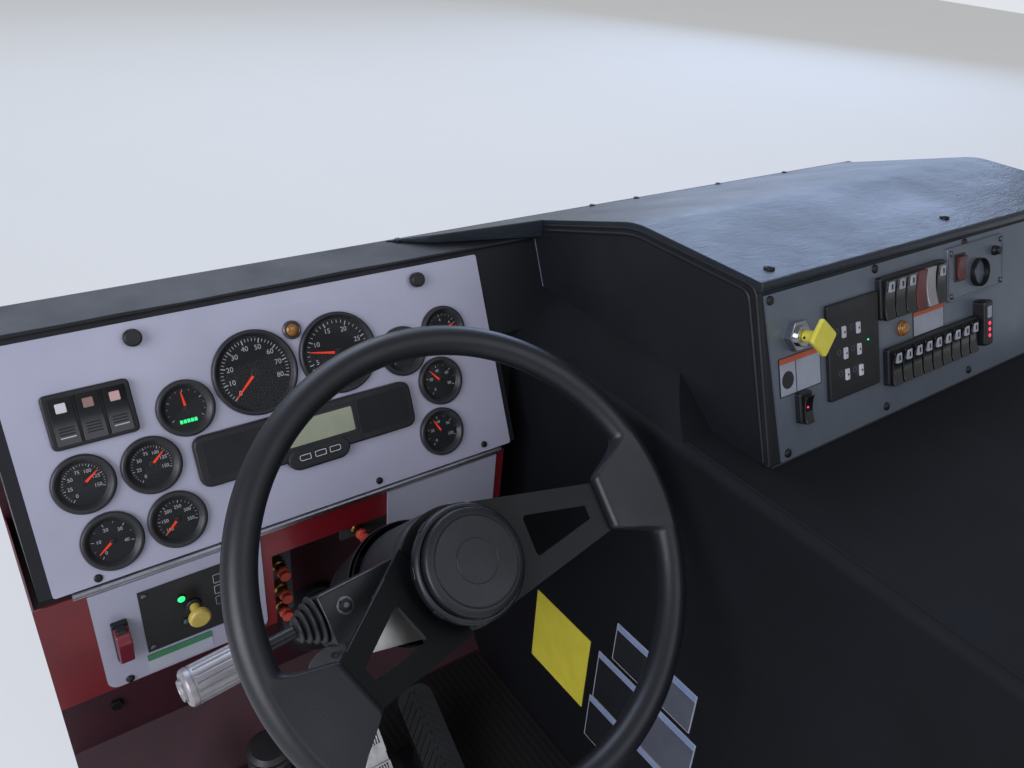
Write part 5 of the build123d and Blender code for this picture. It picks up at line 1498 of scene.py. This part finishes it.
@dataclass
class SteeringColumn:
    """Shroud, switch box, bellows, lever, lower cover and the gusset that shows behind a spoke."""

    radius: float = 61.0
    wall: float = 3.0
    pivot: float = -170.0
    skirt: float = 22.0
    box: tuple = (-129.5, -40, -14, 36)
    box_heights: tuple = (-123, -77)
    box_turn: float = 5.0
    bolt: tuple = (-108, 16.5)
    # Lever: where it leaves the box, how far its stem reaches, and the handle's radius
    lever_up: float = 15.5
    lever_height: float = -100.0
    stem_radius: float = 6.0
    stem_span: tuple = (2, 58)
    handle: float = 17.4
    flutes: int = 16
    flute_depth: float = 1.3
    # Bellows: folds, the first one's radius, how much smaller the next is, pitch and depth of a fold
    folds: int = 4
    fold_radius: float = 24.0
    fold_taper: float = 3.6
    fold_pitch: float = 6.0
    fold_depth: float = 4.5

    def shroud(self) -> None:
        """Shroud: a turned shell with a rounded shoulder and a skirt on a sphere round the pivot."""
        skirt = np.linspace(0, self.skirt, 6)
        inner = self.radius - self.wall
        profile = np.vstack([
            rounded(
                [(30, -74), (30, -66), (52, -66), (self.radius, -76), (self.radius, self.pivot)],
                [0, 1, 6, 8, 0], 6, closed=False),
            np.column_stack([np.sqrt(self.radius ** 2 - skirt ** 2), self.pivot - skirt]),
            np.column_stack([np.sqrt(inner ** 2 - skirt ** 2), self.pivot - skirt])[::-1],
            [(inner, -78), (30, -74)],
        ])
        piece = Piece("shroud_shell", COLUMN)
        piece.add(lathe(profile, 80), COLUMN_PLASTIC)
        left, right, bottom, top = self.box
        turned = COLUMN.turned(self.box_turn)
        piece.block(self.box, self.box_heights, BLACK_ABS, corner=5, fine=4, rim=3, both=True, place=turned)
        # Painted highlights: thin steel-coloured strips along the upper and left edges of the box
        for edge in (
            (left + 2, right - 6, top - 1.6, top - 0.8),
            (left + 0.8, left + 1.6, bottom + 3, top - 2),
        ):
            piece.block(edge, (-78, -76.7), SCREW_STEEL, place=turned)
        # The bolt's washer, head and middle: radius, sides, foot, face, rim and finish
        for radius, sides, low, high, rim, finish in (
            (8.5, 28, -77.2, -75.8, 0.4, SCREW_STEEL),
            (6.6, 6, -76.2, -72.8, 0.8, SCREW_BLACK),
            (2.6, 12, -73.2, -72.4, 0.2, SCREW_STEEL),
        ):
            piece.disc(radius, sides, (low, high), finish, self.bolt, rim=rim, place=turned)
        piece.build("column_plastic", ("column_shroud",), crease=40, body="column_head")

    def bellows(self, place: Place) -> None:
        """Bellows of the lever: a turned profile of folds that grow smaller outwards.

        Args:
            place: Where the lever leaves the box, out along the lever.
        """
        piece = Piece("lever_bellows", place)
        folds = []
        for index in range(self.folds):
            radius = self.fold_radius - self.fold_taper * index
            valley = radius - self.fold_depth
            start = self.fold_pitch * index
            folds += [(valley, start), (radius, start + 1.8), (radius, start + 3.9), (valley, start + 5.7)]
        bore, end = self.stem_radius, self.fold_pitch * self.folds
        piece.spun([(bore, 0), *folds, (9.5, end), (bore, end), (bore, 0)], 1.4, 4, 48, BOOT_RUBBER)
        piece.build("boot_rubber", ("lever_boot",), crease=50, body="column_head")

    def lever(self) -> None:
        """Bellows and lever along the switch box's left: turned profiles, the handle fluted all round."""
        turned = COLUMN.turned(self.box_turn)
        start = turned.shifted(self.box[0], self.lever_up, self.lever_height).origin
        direction = Place(start, turned.up, tuple(-turned.axes()[2]))
        self.bellows(direction)
        piece = Piece("lever_handle", direction)
        near, far = self.stem_span
        stem = [(0, near), (self.stem_radius, near), (self.stem_radius, far), (0, far)]
        piece.add(lathe(stem, 24), BLACK_ABS)
        angles = np.arange(160) / 160 * 2 * np.pi
        flute = np.maximum(0, np.cos(angles * self.flutes)) ** 6
        h = self.handle
        # Stations along the handle: how far from the box, radius, share of the grooves' depth
        stations = np.array([
            (52, 7, 0), (55, 10.5, 0), (59, 15, 0), (63, h - 0.5, 0), (67, h, 0), (70, h, 1), (115, h, 1),
            (116.5, h, 0), (118, h, 0), (118.4, h - 0.8, 0), (119.2, h - 0.8, 0), (119.6, h, 0), (122, h, 0)])
        radius = stations[:, 1:2] - self.flute_depth * stations[:, 2:3] * flute[None, :]
        along = np.repeat(stations[:, :1], 160, 1)
        rings = np.stack([radius * np.cos(angles), radius * np.sin(angles), along], -1)
        piece.add(loft(rings), HANDLE_SILVER)
        end = [
            (0, 121.5), (h, 121.5), (h - 0.2, 124.6), (14.6, 127), (11.4, 127), (10.8, 124.6),
            (10.2, 124.6), (9.8, 129.8), (7.8, 130.4), (7.2, 129.2), (0, 129.2)]
        piece.spun(end, [0, 0.2, 1.4, 1.2, 0.5, 0.3, 0.3, 0.8, 0.6, 0.4, 0], 5, 40, HANDLE_SILVER)
        piece.build("handle_silver", ("signal_lever",), crease=45, body="column_head")

    def lower_cover(self) -> None:
        """Tapered lower cover with two moulded beads."""
        # Radius and height, down the outside and back up the inside
        outline = [
            (69.5, -176), (68, -190), (69, -193), (67, -197), (53, -322), (51, -330),
            (27.2, -330), (27.2, -327), (50, -326), (66, -180), (66.5, -176), (69.5, -176)]
        piece = Piece("lower_cover_shell", COLUMN)
        piece.spun(outline, 1.2, 4, 72, COLUMN_PLASTIC)
        piece.build("column_plastic", ("column_cover",), crease=40)

    def gusset(self) -> None:
        """Bare steel bracket of the tilt clamp behind the left spoke, and its plate under the switch box."""
        piece = Piece("tilt_bracket", COLUMN)
        outline = rounded([(-46, -50), (-108, -40), (-82, 6), (-60, 6), (-46, -8)], [3, 5, 4, 2, 2], 4)
        piece.add(prism(outline, -74, -71, 0.7, both=True), BARE_STEEL)
        turned = COLUMN.turned(self.box_turn)
        plate = rounded([(-158, -44), (-118, -46), (-112, -10), (-140, -12), (-152, -18)], [5, 4, 3, 4, 4], 5)
        low, face = -112.0, -110.0
        piece.add(prism(plate, low, face, 0.5, both=True), CAST_GREY, turned)
        # The clamp's pin and screw: radius, sides, top, rim, finish and centre
        for radius, sides, high, rim, finish, centre in (
            (4.2, 20, -106, 0.8, BARE_STEEL, (-141, -30)),
            (2.6, 16, -104, 0.6, SCREW_BLACK, (-127, -22)),
        ):
            piece.disc(radius, sides, (face - 0.2, high), finish, centre, rim=rim, place=turned)
        piece.build("spoke_steel", body="column_head")

    def build(self) -> None:
        """Builds the column's pieces."""
        self.shroud()
        self.lever()
        self.lower_cover()
        self.gusset()


@dataclass
class Pedals:
    """Dark strips between the ribs of the brake pad: painted shade in the gaps."""

    middle: tuple = (297.5, -84, -350)
    tilt: float = 40.0
    width: float = 32.0
    face: float = 7.0
    ribs: int = 8
    shade_strip_share: float = 0.24
    groups: tuple = ((-54, -26), (0, 46))

    def build(self) -> None:
        """Adds a dark strip of painted shade in each gap between two ribs."""
        angle = np.radians(self.tilt)
        pad = Place(self.middle, (1, 0, 0), (0, np.cos(angle), np.sin(angle)))
        piece = Piece("brake_pad_painted_groove_shade", pad)
        pitch = self.width / (self.ribs + 1)
        half = pitch * self.shade_strip_share
        for group in self.groups:
            for gap in range(1, self.ribs):
                middle = (gap + 0.5) * pitch - self.width / 2
                strip = (middle - half, middle + half, *group)
                piece.block(strip, (self.face - 1, self.face + 0.4), BOOT_RUBBER)
        piece.build("black_plastic")


@dataclass
class Hoses:
    """Push-in air fittings on the bracket behind the column opening."""

    places: tuple = ((243, -116), (243.5, -154), (242, -183.5), (350, -101))
    # Plates of the bracket, and the flanges that carry it at the back of the apron
    plates: tuple = (
        (188, 396, -67, -8), (188, 262, -203.5, -67), (330, 396, -121, -67))
    plate_heights: tuple = (-63, -60)
    flanges: tuple = (188, 393)
    flange_heights: tuple = (-63, -2)
    flange_span: tuple = (-67, -8)
    sheet: float = 3.0

    def build(self) -> None:
        """Brass bodies with red release collars, and the bracket behind them."""
        piece = Piece("air_fitting_row", APRON)
        body = [(0, -60), (9, -60), (9, -50), (7, -49), (7, -40), (0, -40)]
        collar = [(0, -41), (7.6, -41), (7.6, -37), (5.8, -36), (5.8, -32), (6.8, -31), (6.8, -29), (0, -29)]
        for centre in self.places:
            piece.spun(body, 0.8, 3, 24, FITTING_BRASS, centre)
            piece.spun(collar, 0.6, 3, 24, FITTING_RED, centre)
        for box in self.plates:
            piece.block(box, self.plate_heights, CAST_GREY, corner=2, rim=0.4)
        for near in self.flanges:
            piece.block((near, near + self.sheet, *self.flange_span), self.flange_heights, CAST_GREY)
        piece.build("fitting_red", ("air_fittings",))


@dataclass
class Console:
    """Vinyl console, its top skin with the wing, and the beads along its edges."""

    left: float = 645.0
    right: float = 1391.0
    foot: float = 128.0
    rear_foot: float = -319.0
    rear_top: float = -250.0
    bend: float = -69.0
    top: float = 309.0
    front_top: float = 233.5
    skin: float = 5.0
    root: float = 17.0
    # Wing over the dash: how far left its tip and its knee lie, and how far forward its knee and its root
    wing: tuple = (195, 140, 133, 95)
    # Piping: how far inside the outline and how far out each bead lies; radius of bead, foot bead, seam
    beads: tuple = ((3, 1.6), (9.5, 0.4))
    bead_radius: float = 2.4
    foot_radius: float = 1.5
    seam_radius: float = 0.8
    seam_span: tuple = (172, 231)
    screws: tuple = ((682, -232), (1034, -222), (1370, -232))
    front_screws: tuple = ((782, 154), (869, 154), (1049, 154), (1216, 154))

    def side(self) -> Place:
        """The left side's plane: across is forward, up is up and out is to the right."""
        return Place((self.left, 0, 0), (0, 1, 0), (0, 0, 1))

    def body(self) -> None:
        """Body: the side outline with soft corners, carried across with rounded rims."""
        sunk = self.foot - self.root
        lean = (self.rear_top - self.rear_foot) / (self.top - self.foot)
        corners = [
            (self.rear_foot - self.root * lean, sunk),
            (WALL, sunk),
            (WALL, self.front_top),
            (self.bend, self.top),
            (self.rear_top, self.top),
        ]
        outline = rounded(corners, [17, 13, 12, 18, 12], 7)
        piece = Piece("console_body", self.side())
        piece.add(prism(outline, 0, self.right - self.left, 6, both=True, steps=6), DASH_VINYL)
        piece.build("black_vinyl", ("console_shell",), crease=42)

    def top_skin(self) -> None:
        """Top skin: the bent top carried across, its rear edge rolled over, and the wing on the dash."""
        skin = self.skin
        front = self.front_top
        corners = [
            (self.rear_top - 6, self.top - 7),
            (self.rear_top + 6, self.top - 4),
            (self.bend, self.top - 3),
            (WALL, front - 3),
            (WALL, front + skin),
            (self.bend, self.top + skin),
            (self.rear_top - 6, self.top + skin),
        ]
        outline = rounded(corners, [3.5, 3.5, 18, 3.5, 3.5, 20, 7], 7)
        piece = Piece("console_top", self.side())
        # The rim stays smaller than the corners' tightest radius, or the end's outline would cross itself
        piece.add(prism(outline, 0, self.right - self.left, 0.9, both=True, steps=4), TOP_VINYL_PAINTED_SKY_TINT)
        reach, knee, knee_y, root_y = self.wing
        pad = front + skin
        slope = (self.top - front) / (self.bend - WALL)
        left = self.left
        plan = rounded(
            [(left - reach, WALL), (left - knee, knee_y), (left, root_y), (left + 4, WALL)],
            [2, 12, 1, 1], 6)
        lid = pad + slope * (plan[:, 1] - WALL)
        foot = np.column_stack([plan, np.full(len(plan), pad - 0.5)])
        crown = np.column_stack([inset(plan, 1.2), lid])
        shoulder = np.column_stack([plan, np.maximum(lid - 1.5, pad - 0.3)])
        piece.add(loft(np.stack([foot, shoulder, crown])), TOP_VINYL_PAINTED_SKY_TINT, CAB)
        piece.build("black_vinyl", ("console_top_pad",), crease=42)

    def piping(self) -> None:
        """Beads along the left end and the foot, the corner's seam, and the screws in the top.

        Each bead is a tube that follows the side outline a little inside its rim.
        """
        piece = Piece("console_piping", self.side())
        for drawn, out in self.beads:
            corners = [
                (self.rear_foot + drawn, self.foot + 3),
                (self.rear_top + drawn, self.top - drawn),
                (self.bend - 0.15 * drawn, self.top - drawn),
                (WALL - 13, self.front_top + 4.5 - drawn),
            ]
            line = rounded(corners, [0, 10, 18, 0], 7, closed=False)
            path = np.column_stack([line, np.full(len(line), out)])
            piece.add(tube(path, self.bead_radius, (0, 0, 1), 10), DASH_VINYL)
        back, low = self.rear_foot - 1, self.foot + 1.2
        foot = np.array([(self.left + 2, back, low), (1000, back, low), (self.right - 2, back, low)])
        piece.add(tube(foot, self.foot_radius, (0, 0, 1), 8), COLUMN_PLASTIC, CAB)
        z = np.linspace(*self.seam_span, 12)
        seam = np.column_stack([np.full(12, self.left - 0.6), z * np.tan(PANEL_TILT) - 1, z])
        piece.add(tube(seam, self.seam_radius, (1, 0, 0), 8), LABEL_PRINT, CAB)
        heads = Piece("console_screws", CAB)
        heads.screws(self.screws, (6, 3.6), self.top + self.skin - 0.2, SCREW_BLACK)
        heads.screws(self.front_screws, (5, 3.2), self.front_top + 7.5, SCREW_BLACK)
        heads.build("black_vinyl")
        piece.build("black_vinyl")

    def build(self) -> None:
        """Builds the console's pieces."""
        self.body()
        self.top_skin()
        self.piping()


@dataclass(frozen=True)
class RockerRow:
    """A row of rockers: first middle, middle down, pitch, width, height, and each one's two finishes.

    rockers pairs the finish of each rocker with that of its lens, or with None where it has none.
    """

    across: float
    down: float
    pitch: float
    width: float
    height: float
    rockers: tuple


PLAIN_ROCKER = (GLOSS_BLACK, None)
LIT_ROCKER = (GLOSS_BLACK, LENS_SILVER)


@dataclass
class SwitchConsole:
    """What stands on the rear switch panel; places are across and down from its upper left corner."""

    face: float = 2.0
    row_height: float = 7.0
    rows: tuple = (
        RockerRow(208.5, 58, 21.4, 19, 47,
                  (LIT_ROCKER, LIT_ROCKER, LIT_ROCKER, (LENS_RED, None), (HANDLE_SILVER, None), LIT_ROCKER)),
        RockerRow(220, 140.5, 21.3, 18.5, 42, (LIT_ROCKER,) * 9),
        RockerRow(55, 146, 14.5, 13, 32, (PLAIN_ROCKER,)),
    )
    # Rockers: rise of the lower and the upper end of a face, the same of a pressed one, and the hollow
    rocker_ends: tuple = (4.5, 6)
    pressed_ends: tuple = (6, 4.5)
    hollow: float = 11.0
    single_lamp: tuple = (52.5, -143)
    # End module: left, right, top and bottom, then its label's box, its lamps' column and pitch
    module: tuple = (406, 426, 99, 157)
    module_label: tuple = (411, 421, -121, -106)
    module_lamps: int = 3
    module_lamp: tuple = (416, -128)
    module_pitch: float = 8.0
    # Control block, its header, and the middles of its buttons
    block: tuple = (100, 192.5, 45, 152)
    block_height: float = 5.0
    header: tuple = (101.5, 168, -57, -46.5)
    buttons: tuple = (
        (125.7, 78), (151.9, 78.5), (127.8, 102.1), (152.8, 102.9), (129.5, 126.5), (155, 127.5))
    button_half: tuple = (3.2, 6.5)
    mark_half: float = 1.1
    ring_offset: tuple = (-11, 3)
    block_lamp: tuple = (170.4, -96)
    # Brake valve: its middle, half the diamond, and its knob's two heights
    valve: tuple = (50, 65.5)
    diamond: float = 21.0
    diamond_heights: tuple = (33, 38.6)
    # Socket plate: left, right, top and bottom, then the socket, the rocker and the knob on it
    plate: tuple = (342, 476, 22, 89)
    plate_margin: float = 7.0
    socket: tuple = (412, 62)
    switch: tuple = (360, 378, -63, -35)
    knob: tuple = (452, -41)
    lamp: tuple = (245, 99.5)
    screws: tuple = (
        (14, 22), (195, 21), (386, 21), (576, 21), (726, 22), (28, 189), (210, 186), (394, 186), (558, 186),
        (722, 189))
    # Bare labels: left, right, bottom, top, corner, width of the outline, height and rise of the header
    left_label: tuple = (21, 90, -127, -85, 1.5, 1, 7, 0.65)
    right_label: tuple = (269, 336, -116, -86, 1, 0.7, 6, 0.6)

    def add_row(self, piece: Piece, row: RockerRow) -> None:
        """Adds a frame, its rockers and their lens tops.

        Args:
            piece: The piece that takes them.
            row: The row.
        """
        high = self.face + self.row_height
        half = row.height / 2
        count = len(row.rockers)
        frame_box = (
            row.across - row.pitch / 2 - 3, row.across + row.pitch * (count - 0.5) + 3,
            -row.down - half + 1, -row.down + half + 3)
        piece.block(frame_box, (self.face, high), BLACK_ABS, corner=3.5, fine=4, rim=1.6)
        bottom, top = -row.down - half + 0.3, -row.down + half - 1.0
        for index, (skin, lens) in enumerate(row.rockers):
            middle = row.across + row.pitch * index
            left, right = middle - row.width / 2, middle + row.width / 2
            ends = self.pressed_ends if skin is HANDLE_SILVER else self.rocker_ends
            piece.add(hollow_rocker((left, right), (bottom, top), high, ends, self.hollow, 11, 1), skin)
            if lens:
                window = (left + 4.6, right - 4.6, top - 14, top - 2)
                piece.block(window, (high + 1.5, high + 5.6), lens, corner=1.2, rim=0.5)
                bar = (middle - 1.5, middle + 1.5, top - 11, top - 5)
                piece.block(bar, (high + 5.3, high + 5.8), BLACK_ABS, corner=0.5, fine=2)

    def rocker_rows(self) -> None:
        """The three rows and the tall module at the end."""
        piece = Piece("rocker_rows", REAR)
        for row in self.rows:
            self.add_row(piece, row)
        piece.disc(1.1, 16, (9, 12.4), GLOW_RED, self.single_lamp, rim=0.2)
        left, right, top, bottom = self.module
        module = (left, right, -bottom, -top)
        piece.block(module, (self.face, 18), BLACK_ABS, corner=4, fine=5, rim=3, rim_fine=5)
        across, up = self.module_lamp
        for index in range(self.module_lamps):
            piece.disc(2.4, 16, (17.5, 18.6), GLOW_RED, (across, up - index * self.module_pitch), rim=0.4)
        piece.block(self.module_label, (17, 18.3), LABEL_PAPER_PAINTED_SHADE, corner=1, rim=0.3)
        piece.build("black_plastic", ("switch_rows",))

    def control_pad(self) -> None:
        """Black control block with pale buttons and a bare header plate."""
        left, right, top, bottom = self.block
        high = self.face + self.block_height
        piece = Piece("control_pad", REAR)
        piece.block((left, right, -bottom, -top), (self.face, high), BLACK_ABS, corner=3, fine=4, rim=1.4)
        piece.block(self.header, (self.face, high + 0.3), CARD_BLACK, corner=1, rim=0.1)
        wide, tall = self.button_half
        mark = self.mark_half
        section = [(2.7, high), (3.2, high), (3.2, high + 0.2), (2.7, high + 0.2), (2.7, high)]
        ring = lathe(section, 20)
        for across, down in self.buttons:
            button = (across - wide, across + wide, -down - tall, -down + tall)
            piece.block(button, (high, high + 2), OUTLINE_WHITE, corner=1.4, fine=4, rim=0.8)
            dot = (across - mark, across + mark, -down - mark, -down + mark)
            piece.block(dot, (high + 1.9, high + 2.2), BLACK_ABS)
            piece.add(ring.at(across + self.ring_offset[0], -down + self.ring_offset[1]), LABEL_PRINT)
        piece.disc(1, 14, (high, high + 0.8), GLOW_GREEN, self.block_lamp, rim=0.2)
        piece.build("black_plastic", ("control_block",))

    def brake_valve(self) -> None:
        """Flared stem and the yellow diamond, its corners well rounded and its rim soft."""
        across, down = self.valve
        centre = (across, -down)
        piece = Piece("brake_valve_knob", REAR)
        stem = [(0, 14), (6.5, 14), (6.5, 24), (8.2, 29), (11, 33.4), (0, 33.4)]
        piece.spun(stem, 2.4, 5, 40, VALVE_YELLOW, centre)
        half = self.diamond
        diamond = rounded([(0, -half), (half, 0), (0, half), (-half, 0)], 4.2, 7)
        head = prism(diamond, *self.diamond_heights, 2, both=True, steps=5)
        piece.add(head.at(*centre), VALVE_YELLOW)
        pin = prism(circle(1.5, 14), 5.6, 6.9, 0.2).sideways().at(turn=180.0)
        piece.add(pin.at(*centre, 18.5), BLACK_ABS)
        piece.build("yellow_knob", ("brake_knob",))
        nut = Piece("brake_valve_nut", REAR)
        nut.disc(17.6, 6, (self.face, self.face + 8.4), CHROME, centre, rim=1.4)
        nut.spun([(0, 2), (11.4, 2), (11.4, 14.4), (0, 14.4)], 1, 4, 40, CHROME, centre)
        nut.build("silver_panel")

    def socket_unit(self) -> None:
        """Socket plate with a rounded rim, a hollow socket, its rocker and a knob."""
        left, right, top, bottom = self.plate
        across, down = self.socket
        face = self.face
        piece = Piece("socket_unit", REAR)
        outline = rectangle(left, right, -bottom, -top, 4, 5)
        piece.add(prism(outline, face, face + 3, 0.8), SWITCH_SHEET_PAINTED_SHADE)
        piece.add(frame_line(inset(outline, 1), 2, face + 2.8, face + 4), SWITCH_SHEET_PAINTED_SHADE)
        cup = [
            (10.6, 12), (17.4, 12), (18, 10.5), (18, 5), (15, 5), (15, -37), (0, -37),
            (0, -34), (10.6, -34), (10.6, 12)]
        piece.spun(cup, 0.6, 3, 48, BLACK_ABS, (across, -down))
        near, far, low, high = self.switch
        rocker = hollow_rocker((near, far), (low, high), face + 4, self.rocker_ends, self.hollow, 11, 1)
        piece.add(rocker, LENS_RED)
        surround = (near - 3, far + 3, low - 3, high + 3)
        piece.block(surround, (face + 2.5, face + 4.4), BLACK_ABS, corner=2, fine=4, rim=0.6)
        knob = [(0, 5), (6.5, 5), (6.5, 8), (5.2, 9), (5.2, 13.2), (4.4, 14), (0, 14)]
        piece.spun(knob, 0.8, 4, 28, BLACK_ABS, self.knob)
        margin = self.plate_margin
        corners = [(x, -y) for y in (top + margin, bottom - margin) for x in (left + margin, right - margin)]
        piece.screws(corners, (3.6, 2), face + 3.6, SCREW_STEEL)
        piece.build("black_plastic", ("socket_plate",))

    def add_label(self, piece: Piece, label: tuple) -> None:
        """Adds a bare label: its paper, a coloured header and an outline.

        Args:
            piece: The piece that takes it.
            label: Its measures, as the fields list them.
        """
        left, right, bottom, top, corner, line, header, rise = label
        low = self.face
        strip = (left, right, top - header, top)
        piece.block((left, right, bottom, top), (low, low + 0.5), LABEL_PAPER_PAINTED_SHADE, corner=corner, rim=0.1)
        piece.block(strip, (low, low + rise), LABEL_ORANGE, corner=corner, rim=0.1)
        outline = rectangle(left, right, bottom, top, corner, 3)
        piece.add(frame_line(outline, line, low, low + 0.7), CARD_BLACK)

    def trim(self) -> None:
        """Amber lamp, screws and bare labels with coloured headers."""
        lamps = Piece("panel_lamps", REAR)
        across, down = self.lamp
        lens = [(0, 2), (9.4, 2), (9.4, 4), (8, 5), (7, 8.6), (4, 9.6), (0, 9.8)]
        lamps.spun(lens, 1.4, 5, 32, LENS_AMBER, (across, -down))
        lamps.build("lamp_green", ("indicator_lamps",))
        heads = Piece("switch_panel_screws", REAR)
        heads.screws(tuple((x, -y) for x, y in self.screws), (5, 2.8), self.face, SCREW_BLACK)
        heads.build("silver_panel")
        piece = Piece("console_labels", REAR)
        self.add_label(piece, self.left_label)
        heights = (self.face, self.face + 0.7)
        piece.block((47.6, 48.6, -126, -92), heights, CARD_BLACK)
        piece.disc(9.5, 28, heights, CARD_BLACK, (34.5, -110), rim=0.1)
        self.add_label(piece, self.right_label)
        piece.build("sign_yellow")

    def build(self) -> None:
        """Builds the switch console's pieces."""
        self.rocker_rows()
        self.control_pad()
        self.brake_valve()
        self.socket_unit()
        self.trim()


@dataclass
class EngineCover:
    """Seams of the cover's vinyl, and the bare sign and cards on its left side."""

    left: float = 590.0
    right: float = 1446.0
    top: float = 128.0
    rear: float = -800.0
    front: float = -240.0
    # Piping: how far inside the edges it runs, how far it is sunk, and its radius
    seam_margin: float = 12.0
    seam_sink: float = 0.4
    seam_radius: float = 2.2
    # Left, top, width and height of the sign
    sign: tuple = (47, -249, 119, 130)
    # Left, top, width, height and the share that is dark, of each card
    cards: tuple = (
        (206, -172, 140, 64, 0.55), (184, -245, 178, 88, 0.5),
        (182, -335, 180, 82, 0.75))
    card_border: float = 1.5
    header_foot: float = 9.5
    lean: float = 2.0

    def seams(self) -> None:
        """Piping along the cover's top edges, with round corners."""
        piece = Piece("cover_piping", CAB)
        near, far = self.left + self.seam_margin, self.right - self.seam_margin
        back = self.rear + self.seam_margin
        corners = [(near, self.front), (near, back), (far, back), (far, self.front)]
        line = rounded(corners, [0, 22, 22, 0], 9, closed=False)
        path = np.column_stack([line, np.full(len(line), self.top - self.seam_sink)])
        piece.add(tube(path, self.seam_radius, (0, 0, 1), 10), COVER_VINYL)
        piece.build("cover_grey")

    def signs(self) -> None:
        """Bare yellow sign and three overlapping cards with plain blocks of colour."""
        piece = Piece("side_sign_plates", COVER_SIDE)
        left, top, wide, high = self.sign
        sheet = prism(rectangle(0, wide, -high, 0, 1, 3), 0, 1.2, 0.3)
        piece.add(sheet.at(left, top, turn=self.lean), SIGN_YELLOW)
        edge = self.card_border
        for left, top, wide, high, dark in self.cards:
            below = (edge - high, -self.header_foot - 1)
            split = wide * dark
            for box, low, rise, finish in (
                ((0, wide, -high, 0), 0, 1, CARD_WHITE),
                ((edge, wide - edge, -self.header_foot, -1), 0.5, 1.15, CARD_BLUE),
                ((edge, split, *below), 0.5, 1.15, CARD_BLACK),
                ((split + 1, wide - edge, *below), 0.5, 1.15, LABEL_PRINT),
            ):
                block = prism(rectangle(*box, 0.8, 3), low, rise, 0.1)
                piece.add(block.at(left, top, turn=self.lean), finish)
        piece.build("sign_yellow", ("side_signs",))

    def build(self) -> None:
        """Builds the cover's pieces."""
        self.seams()
        self.signs()


def dress_nodes() -> None:
    """Gives each CAD node that stays in view its finish."""
    for name, finish in NODE_FINISHES.items():
        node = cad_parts[name]
        made = material(finish)
        if not node.material_slots:
            node.data.materials.append(made)
        for slot in node.material_slots:
            slot.material = made


def main() -> None:
    """Builds the studio and every sub-assembly."""
    logging.basicConfig(level=logging.INFO, format="%(message)s")
    dress_nodes()
    parts = (
        Studio(), InstrumentPanel(), Dash(), SteeringWheel(), SteeringColumn(), Pedals(), Hoses(), Console(),
        SwitchConsole(), EngineCover())
    for part in parts:
        LOG.info("building %s", type(part).__name__)
        part.build()
    bpy.context.view_layer.update()


if __name__ == "__main__":
    main()
